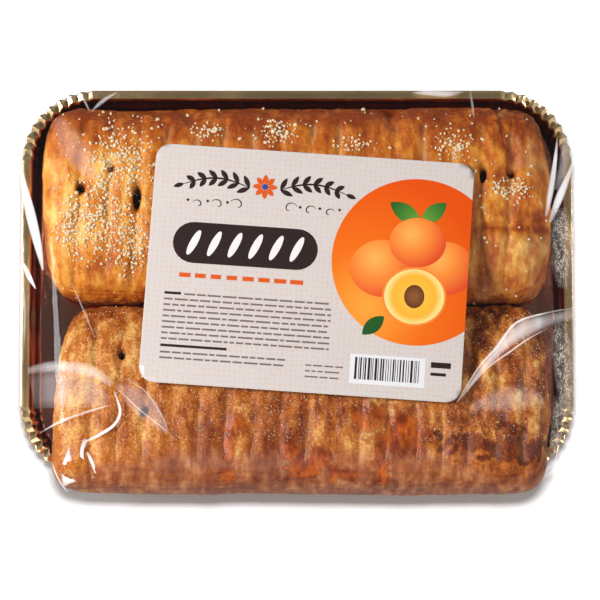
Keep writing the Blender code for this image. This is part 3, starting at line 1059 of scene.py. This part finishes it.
# Hard-edged glare on the film: strength, and a path of (x, y, width) in pixels
GLARES = {
    "left_glare": (1.00, ((20, 160, 1), (24, 185, 6), (31, 215, 10), (38, 245, 8), (43, 270, 2))),
    "left_crease": (0.90, ((23, 262, 2), (29, 276, 5), (36, 289, 1))),
    "mirror_veil": (0.15, ((32, 392, 34), (60, 388, 40), (85, 392, 34), (108, 402, 12))),
    "arc": (1.00, ((114, 391, 1), (118, 402, 2.6), (120, 413, 3), (114, 425, 3), (99, 435, 3),
        (82, 443, 1))),
    "glare_triangle": (1.00, ((69, 448, 1), (68, 458, 7), (68, 466, 13), (70, 474, 20), (66, 481, 10),
        (64, 486, 2))),
    "curl_left": (0.95, ((86, 439, 5), (82, 450, 4), (83, 462, 3), (88, 476, 1))),
    "curl_right": (0.75, ((87, 452, 2), (92, 462, 4), (97, 477, 1))),
    "curl_foot": (0.70, ((82, 478, 1), (90, 476, 2), (98, 478, 1))),
    "diamond": (0.17, ((116, 384, 3), (130, 394, 18), (146, 408, 24), (160, 424, 12), (168, 434, 2))),
    "right_glare_one": (0.95, ((557, 138, 1), (555, 160, 4), (551, 188, 6), (546, 216, 3))),
    "right_glare_two": (1.00, ((575, 157, 1), (568, 176, 5), (559, 198, 8), (550, 222, 3))),
}
# Soft-edged folds, partly real whitish folds of film and partly painted highlights and reflections, in the
# same way
FOLDS_AND_SHEEN = {
    "left_rim_line": (0.25, ((22, 270, 1), (25, 310, 3), (24, 350, 1))),
    "corner_fold_left": (0.40, ((80, 92, 1), (85, 102, 3), (90, 112, 1))),
    "corner_fold_right": (0.50, ((91, 112, 1), (103, 101, 5), (118, 92, 1))),
    "roll_line_left": (0.25, ((71, 282, 1), (83, 309, 2), (95, 338, 1))),
    "left_facet": (0.12, ((57, 118, 12), (66, 135, 26), (79, 156, 29), (92, 173, 15), (98, 182, 2))),
    "mirror_band": (0.34, ((28, 371, 8), (48, 367, 12), (70, 367, 13), (92, 372, 14), (112, 384, 8))),
    "lower_line": (0.55, ((40, 433, 1), (62, 421, 3), (90, 411, 2.5), (111, 405, 1))),
    "diamond_edge": (0.45, ((117, 388, 1), (140, 410, 2), (168, 432, 1))),
    "diamond_top": (0.35, ((124, 378, 1), (146, 392, 2), (162, 416, 2), (168, 430, 1))),
    "right_tip": (0.28, ((563, 130, 4), (566, 145, 12), (564, 165, 12), (556, 190, 6))),
    "right_edge_line": (0.80, ((575, 212, 1), (573, 232, 3), (574, 250, 1))),
    "fold_band": (0.50, ((575, 314, 11), (560, 317, 12), (545, 321, 14), (526, 328, 19), (507, 341, 15),
        (490, 360, 9), (472, 383, 5), (457, 403, 1))),
    "fold_band_high": (0.70, ((575, 308, 1), (546, 313, 2), (516, 323, 3), (497, 347, 3), (479, 367, 2),
        (457, 402, 1))),
    "fold_band_low": (0.55, ((548, 328, 1), (528, 339, 2), (511, 351, 2.5), (490, 366, 2),
        (470, 386, 1))),
    "far_glint": (0.55, ((412, 93, 2), (430, 93, 7), (448, 94, 7), (463, 92, 1))),
    "far_streak": (0.35, ((470, 90, 1), (472, 103, 3), (474, 118, 1))),
    "low_veil": (0.14, ((470, 408, 6), (500, 400, 26), (528, 398, 26), (545, 402, 8))),
    "chamfer_left": (0.65, ((52, 462, 1), (58, 478, 2.5), (69, 494, 1))),
    "chamfer_right": (0.75, ((559, 444, 1), (553, 466, 2.5), (540, 492, 1))),
}
# Speckled crinkles of painted glints, in the same way
CRINKLE_GLINTS = {
    "right_crinkle": (0.95, ((560, 208, 14), (562, 235, 24), (561, 262, 22), (564, 288, 12))),
    "right_low_crinkle": (0.95, ((560, 322, 18), (562, 350, 24), (565, 385, 20), (566, 415, 14))),
    "right_corner_crinkle": (0.85, ((560, 396, 14), (558, 425, 16), (552, 455, 8))),
}


def fold_and_glare_material():
    """Where the film is folded, and painted highlights and glints where it would catch a light: whitish with
    a faint painted glow, partly see-through and in places speckled.
    """
    material, tree, shader = new_material("film_folds_and_painted_glare")
    space = object_space(tree)
    speck = noise_node(tree, space, 1150, detail=3, roughness=0.7)
    speck = map_range(tree, speck, 0.47, 0.58, 0.16, 1.0)
    clump = map_range(tree, noise_node(tree, space, 260, detail=2), 0.40, 0.54, 0.35, 1.0)
    speck = math_node(tree, "MULTIPLY", speck, clump)
    wrinkle = noise_node(tree, space, 90, stretch=(1, 0.3, 1), detail=3)
    speckled = attribute_node(tree, "speckled")
    thick = map_range(tree, wrinkle, 0.3, 0.6, 0.65, 1.0)
    cover = math_node(tree, "MULTIPLY", attribute_node(tree, "cover"), thick)
    kept = math_node(tree, "MULTIPLY_ADD", speckled, math_node(tree, "SUBTRACT", speck, 1.0), 1.0)
    # Painted highlight: a whitish tint stands in for light caught by the film
    tint = mix_colours(tree, wrinkle, srgb(250, 240, 238), srgb(255, 255, 255))
    tint = mix_colours(tree, speckled, tint, srgb(255, 240, 224))
    set_inputs(tree, shader, {
        "Base Color": tint,
        "Alpha": math_node(tree, "MULTIPLY", cover, kept, clamp=True),
        "Roughness": 0.18,
        # Painted glow: the strips give off a little light of their own
        "Emission Color": tint,
        "Emission Strength": 0.30,
        "Normal": bump_node(tree, wrinkle, 0.2, 0.0004),
    })
    return material


def on_film(tree, x, y):
    """The point of the film that a pixel of the photograph shows, just above its surface."""
    start, way = pixel_ray(x, y)
    hit, normal, _, _ = tree.ray_cast(start, way)
    if hit is None:
        hit, normal, _, _ = tree.find_nearest(pixel_at_height(x, y, TRAY_HEIGHT))
    return hit + normal * STRIP_LIFT


def dense_path(path):
    """Points along a path about every few pixels, on a smooth curve through the given ones."""
    points = [Vector(point) for point in path]
    dense = []
    for k in range(len(points) - 1):
        before, start, end = points[max(k - 1, 0)], points[k], points[k + 1]
        after = points[min(k + 2, len(points) - 1)]
        count = max(2, round((end - start).xy.length / STRIP_STEP))
        for i in range(count):
            t = i / count
            dense.append((
                start * 2 + (end - before) * t + (before * 2 - start * 5 + end * 4 - after) * t**2
                + (start * 3 - before - end * 3 + after) * t**3
            ) / 2)
    return dense + [points[-1]]


def fold_and_glare_strip(tree, path, soft):
    """Points and the cover of each for a strip of film along a path."""
    dense = dense_path(path)
    points, cover = [], []
    last = len(dense) - 1
    for k, place in enumerate(dense):
        along = (dense[min(k + 1, last)] - dense[max(k - 1, 0)]).xy.normalized()
        width = max(place.z, 0.6)
        for column in range(STRIP_COLUMNS):
            off = column / (STRIP_COLUMNS - 1) - 0.5
            points.append(on_film(tree, place.x - along.y * off * width, place.y + along.x * off * width))
            edge = 1 - (2 * abs(off)) ** 2 if soft else min(1.0, (0.5 - abs(off)) * 4 + 0.35)
            cover.append(edge * min(1.0, 0.35 + 2.6 * k / last, 0.35 + 2.6 * (last - k) / last))
    return points, cover, len(dense)


def make_folds_and_painted_glares(tree):
    """All the folds and the painted glare lines and glints as narrow strips of film."""
    points, faces, cover, speckled = [], [], [], []
    for folds_and_painted_glares, soft, specks in ((GLARES, False, 0.0), (FOLDS_AND_SHEEN, True, 0.0), (CRINKLE_GLINTS, True, 1.0)):
        for strength, path in folds_and_painted_glares.values():
            strip, strip_cover, rows = fold_and_glare_strip(tree, path, soft)
            faces += (grid_faces(rows, STRIP_COLUMNS) + len(points)).tolist()
            points += strip
            cover += [value * strength for value in strip_cover]
            speckled += [specks] * len(strip)
    mesh = mesh_from("film_folds_and_painted_glares", points, faces)
    set_attribute(mesh, "cover", cover)
    set_attribute(mesh, "speckled", speckled)
    ride(add_object("film_folds_and_painted_glares", mesh, fold_and_glare_material()), "clear_film", "film")


# Label

class Sheet(NamedTuple):
    """The label's taut curved sheet: its heights over a grid of flat label coordinates, in metres."""

    us: np.ndarray
    vs: np.ndarray
    heights: np.ndarray


def label_place(flat):
    """World x and y of flat label coordinates."""
    cosine, sine = math.cos(LABEL_TURN), math.sin(LABEL_TURN)
    middle = TRAY_MIDDLE + LABEL_MIDDLE
    x = middle.x + flat[:, 0] * cosine - flat[:, 1] * sine
    y = middle.y + flat[:, 0] * sine + flat[:, 1] * cosine
    return np.stack([x, y], axis=-1)


def label_sheet(envelope):
    """Reads the sheet's heights off the film's taut skin and smooths them."""
    tree = tree_of(envelope)
    margin = SHEET_STEP * 2
    us = np.arange(-LABEL_LENGTH / 2 - margin, LABEL_LENGTH / 2 + margin, SHEET_STEP)
    vs = np.arange(-LABEL_DEPTH / 2 - margin, LABEL_DEPTH / 2 + margin, SHEET_STEP)
    grid = np.stack(np.meshgrid(us, vs, indexing="ij"), axis=-1).reshape(-1, 2)
    heights = []
    for x, y in label_place(grid):
        hit, _, _, _ = tree.ray_cast(Vector((x, y, ABOVE_ALL)), Vector((0, 0, -1)))
        heights.append(hit.z + LABEL_LIFT)
    heights = np.array(heights).reshape(len(us), len(vs))
    for _ in range(3):
        heights[1:-1] = (heights[:-2] + 2 * heights[1:-1] + heights[2:]) / 4
        heights[:, 1:-1] = (heights[:, :-2] + 2 * heights[:, 1:-1] + heights[:, 2:]) / 4
    return Sheet(us, vs, heights)


def lay_on(sheet, flat, lift):
    """World points of flat label coordinates, lifted off the sheet."""
    i = np.clip((flat[:, 0] - sheet.us[0]) / SHEET_STEP, 0, len(sheet.us) - 1.001)
    j = np.clip((flat[:, 1] - sheet.vs[0]) / SHEET_STEP, 0, len(sheet.vs) - 1.001)
    low_i, low_j = i.astype(int), j.astype(int)
    part_i, part_j = i - low_i, j - low_j
    near = sheet.heights[low_i, low_j] * (1 - part_i) + sheet.heights[low_i + 1, low_j] * part_i
    far = sheet.heights[low_i, low_j + 1] * (1 - part_i) + sheet.heights[low_i + 1, low_j + 1] * part_i
    height = near * (1 - part_j) + far * part_j
    return np.column_stack([label_place(flat), height + lift])


def rectangle(u, v, wide, tall):
    """Outline with its lower left corner at u, v."""
    return [(u, v), (u + wide, v), (u + wide, v + tall), (u, v + tall)]


def oval(u, v, wide, tall, turn=0.0, lobes=0, lobe_depth=0.0, sides=40):
    """Outline round a middle, with half sizes, and if asked with lobes."""
    outline = []
    for k in range(sides):
        angle = k / sides * math.tau
        reach = 1 + lobe_depth * math.cos(lobes * angle)
        along = wide * reach * math.cos(angle)
        across = tall * reach * math.sin(angle)
        outline.append((
            u + along * math.cos(turn) - across * math.sin(turn),
            v + along * math.sin(turn) + across * math.cos(turn),
        ))
    return outline


def leaf(u, v, long, wide, turn, sides=12):
    """Pointed leaf outline from its stalk end at u, v."""
    edge = [(k / sides * long, wide / 2 * math.sin(k / sides * math.pi) ** 0.8) for k in range(sides + 1)]
    outline = edge + [(along, -across) for along, across in reversed(edge[1:-1])]
    outline = outline[::-1]
    cosine, sine = math.cos(turn), math.sin(turn)
    return [(u + a * cosine - b * sine, v + a * sine + b * cosine) for a, b in outline]


def stroke(path, width):
    """Quads along a path, thinner towards its ends."""
    quads = []
    last = len(path) - 1
    sides = []
    for k, (u, v) in enumerate(path):
        before = path[max(k - 1, 0)]
        after = path[min(k + 1, last)]
        along = Vector((after[0] - before[0], after[1] - before[1])).normalized()
        half = width / 2 * (0.25 + 0.75 * math.sin(math.pi * (k + 0.5) / (last + 1)))
        sides.append(((u - along.y * half, v + along.x * half), (u + along.y * half, v - along.x * half)))
    for (left, right), (next_left, next_right) in zip(sides, sides[1:]):
        quads.append([right, next_right, next_left, left])
    return quads


def rounded_label():
    """The label's own outline."""
    half_u = LABEL_LENGTH / MM / 2
    half_v = LABEL_DEPTH / MM / 2
    radius = LABEL_CORNER / MM
    outline = []
    for corner in range(4):
        side_u = 1 if corner in (0, 3) else -1
        side_v = 1 if corner in (0, 1) else -1
        for step in range(9):
            angle = (corner + step / 8) * math.pi / 2
            outline.append((
                side_u * (half_u - radius) + radius * math.cos(angle),
                side_v * (half_v - radius) + radius * math.sin(angle),
            ))
    return outline


def flat_mesh(name, outlines, sheet, layer, centre=None, reach=1.0):
    """Outlines laid on the sheet in small faces, with their flat places and distance from a centre."""
    bm = bmesh.new()
    for outline in outlines:
        bm.faces.new([bm.verts.new((u * MM, v * MM, 0.0)) for u, v in outline])
    edge = LABEL_LENGTH / 2
    for side in (-1, 1):
        geometry = bm.verts[:] + bm.edges[:] + bm.faces[:]
        bmesh.ops.bisect_plane(
            bm, geom=geometry, plane_co=(side * edge, 0, 0), plane_no=(side, 0, 0), clear_outer=True,
        )
    low = [min(vertex.co[axis] for vertex in bm.verts) for axis in (0, 1)]
    high = [max(vertex.co[axis] for vertex in bm.verts) for axis in (0, 1)]
    for axis, way in ((0, Vector((1, 0, 0))), (1, Vector((0, 1, 0)))):
        for place in np.arange(math.ceil(low[axis] / SHEET_STEP) * SHEET_STEP, high[axis], SHEET_STEP):
            geometry = bm.verts[:] + bm.edges[:] + bm.faces[:]
            bmesh.ops.bisect_plane(bm, geom=geometry, plane_co=way * place, plane_no=way)
    bmesh.ops.triangulate(bm, faces=bm.faces[:])
    mesh = bpy.data.meshes.new(name)
    bm.to_mesh(mesh)
    bm.free()
    flat = np.array([tuple(vertex.co)[:2] for vertex in mesh.vertices])
    mesh.vertices.foreach_set("co", lay_on(sheet, flat, layer * INK_LIFT).astype(np.float32).ravel())
    place = mesh.attributes.new("flat", "FLOAT_VECTOR", "POINT")
    place.data.foreach_set("vector", np.column_stack([flat, np.zeros(len(flat))]).astype(np.float32).ravel())
    if centre:
        set_attribute(mesh, "shade", np.linalg.norm(flat / MM - np.array(centre), axis=1) / reach)
    mesh.update()
    mesh.shade_smooth()
    return mesh


def paper_material():
    """Satin white paper with a fine fibre and faint peach dots."""
    material, tree, shader = new_material("label_paper")
    flat = flat_place(tree)
    inputs = {"Vector": flat, "Scale": 1 / DOT_PITCH, "Randomness": 0.30}
    dots = add_node(tree, "ShaderNodeTexVoronoi", inputs)
    dot = map_range(tree, dots.outputs["Distance"], 0.20, 0.42, 0.44, 0.0)
    fibre = noise_node(tree, flat, 1500, detail=2)
    cloud = noise_node(tree, flat, 45, detail=2)
    paper = mix_colours(tree, cloud, srgb(206, 197, 195), srgb(213, 204, 198))
    set_inputs(tree, shader, {
        "Base Color": mix_colours(tree, dot, paper, srgb(216, 176, 154)),
        "Roughness": 0.42,
        "Normal": bump_node(tree, fibre, 0.08, 0.00006),
    })
    return material


def ink_material(name, stops):
    """Print on the paper: a tone that follows the distance from a centre, with a faint print grain."""
    material, tree, shader = new_material("ink_" + name)
    grain = noise_node(tree, flat_place(tree), 2200, detail=2)
    unevenness = map_range(tree, grain, 0.3, 0.7, -0.03, 0.03)
    place = math_node(tree, "ADD", attribute_node(tree, "shade"), unevenness)
    set_inputs(tree, shader, {
        "Base Color": ramp_node(tree, place, stops),
        "Roughness": 0.45,
        "Specular IOR Level": 0.25,
        "Normal": bump_node(tree, grain, 0.05, 0.00004),
    })
    return material


def word_bars(draw, left, right, top, rows, tall, indent=0.0):
    """Rows of plain bars in place of small print."""
    bars = []
    for row in range(rows):
        u = left + (indent if row == 0 else 0.0)
        while u < right - 1.2:
            wide = min(draw.uniform(*WORD_LENGTHS), right - u)
            bars.append(rectangle(u, top - row * PRINT_PITCH, wide, tall))
            u += wide + WORD_GAP
    return bars


def pastry_sign():
    """A plain sign of a strudel: a long rounded roll, and the slanting cuts across it."""
    left, right, middle, half = -62, 4, 10, 9.5
    outline = []
    for side, end in ((1, right - half), (-1, left + half)):
        for k in range(13):
            angle = k / 12 * math.pi - side * math.pi / 2
            outline.append((end + half * math.cos(angle), middle + half * math.sin(angle)))
    cuts = [oval(left + 9.5 + k * 9.4, middle, 1.7, 6.4, turn=-0.42, sides=24) for k in range(6)]
    return [outline], cuts


def sprig_sign():
    """Two leafy sprigs that bow away from the middle: a thin stem each, with leaves in pairs."""
    leaves, stems = [], []
    for side in (-1, 1):
        path = []
        for k in range(LEAF_PAIRS * 2 + 1):
            t = k / (LEAF_PAIRS * 2)
            path.append((SIGN_MIDDLE + side * (7 + 30 * t), 37 + 3.6 * math.sin(t * math.pi)))
        stems += stroke(path if side < 0 else path[::-1], 0.9)
        for k in range(LEAF_PAIRS):
            (u, v), (next_u, next_v) = path[2 * k], path[2 * k + 1]
            along = math.atan2(next_v - v, next_u - u)
            leaves += [leaf(u, v, 6.4 - 0.35 * k, 2.3, along + open_by) for open_by in (-0.75, 0.75)]
        leaves.append(leaf(*path[-1], 5, 2.1, along))
    return leaves + stems


def flower_sign():
    """A plain eight-petalled flower and its heart."""
    u, v = SIGN_MIDDLE, 38
    petals = []
    for k in range(8):
        angle = k / 8 * math.tau
        petals.append(leaf(u + 1.1 * math.cos(angle), v + 1.1 * math.sin(angle), 4.6, 2.4, angle))
    return petals, oval(u, v, 1.4, 1.4, sides=16)


def scroll(u, v, size, side, turn):
    """A spiral scroll drawn as a stroke."""
    path = []
    for k in range(26):
        t = k / 25
        angle = turn + t * 4.2
        reach = size * (1 - 0.82 * t)
        path.append((u + side * reach * math.cos(angle), v + reach * math.sin(angle)))
    return stroke(path, 0.55)


def scroll_signs():
    """Three small scrolls on each side, with a diamond after each."""
    strokes = []
    for side in (-1, 1):
        for k in range(3):
            u = SIGN_MIDDLE + side * (12 + 9 * k)
            strokes += scroll(u, 28.5 - 0.4 * k, 3.6 - 0.5 * k, side, 0.4)
            strokes.append(oval(u + side * 4.6, 29.6, 0.8, 0.8, sides=4))
    return strokes


def bar_panel(draw):
    """A white panel with upright bars of random widths."""
    left, bottom, wide, tall = 22, -49.5, 34, 13.5
    bars = []
    u = left + 2.2
    while u < left + wide - 2.6:
        thick = draw.choice(BAR_WIDTHS)
        bars.append(rectangle(u, bottom + 2.0, thick, tall - 3.4))
        u += thick + draw.choice(BAR_GAPS)
    return rectangle(left, bottom, wide, tall), bars


def fruit_prints(sheet):
    """Round ripe fruit and leaves on an orange disc: plain shapes shaded from their middles."""
    disc, glow, stalk, half = (49, 8), (28, -14), (50, 26), (49, -8)
    field = ((0.0, srgb(244, 160, 56)), (0.45, srgb(236, 108, 14)), (1.0, srgb(226, 78, 2)))
    skin = ((0.0, srgb(250, 176, 84)), (0.5, srgb(243, 132, 52)), (0.95, srgb(222, 74, 36)))
    flesh = ((0.0, srgb(252, 196, 72)), (0.7, srgb(250, 176, 52)), (0.92, srgb(255, 222, 140)))
    stone = ((0.0, srgb(150, 92, 50)), (1.0, srgb(92, 48, 24)))
    green = ((0.0, srgb(110, 160, 60)), (0.6, srgb(62, 120, 40)), (1.0, srgb(34, 84, 34)))
    leaves = [leaf(*stalk, 17, 8, 2.6), leaf(*stalk, 15, 7.5, 0.75), leaf(36, -18, 13, 6.5, 3.9)]
    prints = [
        ("disc", [oval(*disc, 38.5, 38.5, sides=96)], field, glow, 60),
        ("leaves", leaves, green, stalk, 17),
    ]
    for name, u, v, size in (("left", 34, 4, 14.5), ("right", 62, 6, 13.5), ("top", 49, 17, 12.5)):
        shape = oval(u, v, size, size * 0.94, lobes=2, lobe_depth=0.03, sides=56)
        lit = (u - size * 0.25, v + size * 0.3)
        prints.append(("fruit_" + name, [shape], skin, lit, size * 1.35))
    prints += [
        ("fruit_half_skin", [oval(*half, 14.6, 13.6, sides=56)], skin, half, 30),
        ("fruit_half", [oval(*half, 13.6, 12.6, sides=56)], flesh, half, 14),
        ("fruit_stone", [oval(*half, 4.6, 5.4, sides=28)], stone, half, 5.6),
    ]
    for layer, (name, outlines, stops, centre, reach) in enumerate(prints, start=1):
        print_on(sheet, name, outlines, stops, layer, centre, reach)


def print_on(sheet, name, outlines, stops, layer, centre=None, reach=1.0):
    mesh = flat_mesh("label_" + name, outlines, sheet, layer, centre, reach)
    ride(add_object("label_" + name, mesh, ink_material(name, stops)), "label_paper", "label")


def make_paper(sheet):
    paper = add_object("label_sheet", flat_mesh("label_sheet", [rounded_label()], sheet, 0), paper_material())
    thick = paper.modifiers.new("thickness", "SOLIDIFY")
    thick.thickness = PAPER_THICKNESS
    thick.offset = -1
    ride(paper, "label_paper", "label")


def small_bars(draw):
    """The three blocks of small print, as bars."""
    bars = word_bars(draw, -64, 12, -14.5, 9, 0.85, indent=9)
    bars += word_bars(draw, -64, -6, -41.5, 2, 0.85)
    return bars + word_bars(draw, 2, 19, -43.0, 3, 0.7)


def bold_bars():
    """Thicker bars: two that head the small print, and two beside the panel."""
    places = ((-64, -14.5, 7.5, 1.2), (-64, -38.6, 30, 1.2), (58.5, -40.0, 9, 2.6), (58.5, -43.6, 7, 1.4))
    return [rectangle(*place) for place in places]


def title_dashes(draw):
    """The row of short dashes under the roll's sign."""
    return [rectangle(-58 + k * 7.2, -6.2, draw.uniform(4.2, 6.2), 2.0) for k in range(8)]


def make_label(envelope):
    sheet = label_sheet(envelope)
    make_paper(sheet)
    draw = random.Random(40)
    dark = ((0.0, srgb(44, 30, 28)), (1.0, srgb(52, 36, 32)))
    roll, cuts = pastry_sign()
    petals, heart = flower_sign()
    panel, bars = bar_panel(draw)
    dashes = title_dashes(draw)
    small = small_bars(draw)
    fruit_prints(sheet)
    for name, outlines, stops, layer in (
        ("dark_print", roll + sprig_sign() + bold_bars() + scroll_signs(), dark, 2),
        ("pale_print", cuts, ((0.0, srgb(236, 228, 226)), (1.0, srgb(240, 232, 230))), 4),
        ("orange_print", petals + dashes, ((0.0, srgb(214, 88, 22)), (1.0, srgb(222, 98, 30))), 5),
        ("blue_print", [heart], ((0.0, srgb(44, 74, 150)), (1.0, srgb(52, 84, 160))), 6),
        ("small_print", small, ((0.0, srgb(122, 104, 106)), (1.0, srgb(132, 114, 116))), 2),
        ("bar_panel", [panel], ((0.0, srgb(228, 226, 228)), (1.0, srgb(232, 230, 232))), 2),
        ("bars", bars, dark, 3),
    ):
        print_on(sheet, name, outlines, stops, layer)


# Stage

def make_floor():
    """A plain pale floor. Foil and film don't mirror it, because its white would veil the food."""
    material, tree, shader = new_material("studio_floor")
    grain = noise_node(tree, object_space(tree), 300, detail=2)
    set_inputs(tree, shader, {
        "Base Color": mix_colours(tree, grain, (0.88, 0.88, 0.88), (0.92, 0.92, 0.92)),
        "Emission Color": (1.0, 1.0, 1.0),
        "Emission Strength": 0.03,
        "Roughness": 0.8,
    })
    corners = [(x * FLOOR_REACH, y * FLOOR_REACH, 0.0) for x, y in ((-1, -1), (1, -1), (1, 1), (-1, 1))]
    floor = add_object("floor", mesh_from("floor", corners, [(0, 1, 2, 3)], smooth=False), material)
    floor.visible_glossy = False
    return floor


def make_camera():
    data = bpy.data.cameras.new("camera")
    data.sensor_width = SENSOR_WIDTH
    data.lens = SENSOR_WIDTH * CAMERA_DISTANCE / (PHOTO_SIZE * METRES_A_PIXEL)
    data.clip_start, data.clip_end = CLIPPING
    camera = add_object("camera", data)
    camera.location = camera_place()
    camera.rotation_euler = camera_turn()
    bpy.context.scene.camera = camera


# Soft boxes: (name, place, size, watts)
LIGHTS = (
    ("key", (-0.85, 0.10, 0.92), (0.34, 0.26), 14.5),
    ("front_fill", (0.30, -0.95, 0.95), (0.80, 0.50), 2.4),
    ("left_strip", (-0.95, 0.15, 0.50), (0.10, 0.60), 1.7),
    ("right_strip", (0.95, 0.20, 0.55), (0.10, 0.60), 1.8),
    ("floor_wash", (0.0, 0.08, 1.30), (0.24, 0.17), 19.5),
)
# The soft boxes that leave out the film and the floor, and the one that lights the floor alone
FOOD_LIGHTS = ("key", "front_fill", "right_strip")
FLOOR_LIGHT = "floor_wash"
# The studio's brightness by height: (sine of the height over the horizon, brightness)
SKY = ((0.0, 0.40), (0.20, 0.26), (0.58, 0.34), (0.76, 0.80), (0.88, 0.42), (1.0, 0.16))
# and how much of it is left from the near side, 0, to the far side, 1
SKY_ACROSS = ((0.30, 1.0), (0.75, 0.40))


def linked_lights(film, floor):
    """Which surfaces the food lights leave out, and which one the floor light is for."""
    spared = bpy.data.collections.new("spared_by_food_lights")
    for obj in (film, floor):
        spared.objects.link(obj)
    for entry in spared.collection_objects:
        entry.light_linking.link_state = "EXCLUDE"
    floor_only = bpy.data.collections.new("floor_only")
    floor_only.objects.link(floor)
    receivers = {name: spared for name in FOOD_LIGHTS}
    receivers[FLOOR_LIGHT] = floor_only
    return receivers


def make_lights(film, floor):
    receivers = linked_lights(film, floor)
    for name, place, (wide, tall), watts in LIGHTS:
        data = bpy.data.lights.new(name, "AREA")
        data.shape = "RECTANGLE"
        data.size = wide
        data.size_y = tall
        data.energy = watts
        light = add_object(name, data)
        light.location = place
        light.rotation_euler = (Vector((0.0, 0.0, 0.02)) - Vector(place)).to_track_quat("-Z", "Y").to_euler()
        if name in receivers:
            light.light_linking.receiver_collection = receivers[name]


def make_world():
    """A studio for gloss and foil to mirror: bright part way up, darker overhead and on the far side."""
    world = bpy.data.worlds.new("studio")
    bpy.context.scene.world = world
    world.use_nodes = True
    tree = world.node_tree
    way = add_node(tree, "ShaderNodeTexCoord").outputs["Generated"]
    parts = add_node(tree, "ShaderNodeSeparateXYZ")
    tree.links.new(way, parts.inputs["Vector"])
    ring = ramp_node(tree, parts.outputs["Z"], [(place, (value,) * 3) for place, value in SKY])
    across = math_node(tree, "MULTIPLY_ADD", parts.outputs["Y"], 0.5, 0.5)
    share = ramp_node(tree, across, [(place, (value,) * 3) for place, value in SKY_ACROSS])
    tree.links.new(mix_colours(tree, 1.0, ring, share, "MULTIPLY"), tree.nodes["Background"].inputs["Color"])
    bpy.context.scene.view_settings.view_transform = "Standard"


def main():
    make_camera()
    make_world()
    floor = make_floor()
    back_tree = make_roll(BACK_ROLL, BACK_STOPS, 0.12)
    front_tree = make_roll(FRONT_ROLL, FRONT_STOPS, 0.26)
    make_sugar(back_tree, front_tree)
    make_tray()
    envelope = film_envelope()
    film, film_tree = make_film(envelope)
    make_folds_and_painted_glares(film_tree)
    make_lights(film, floor)
    make_label(envelope)


main()
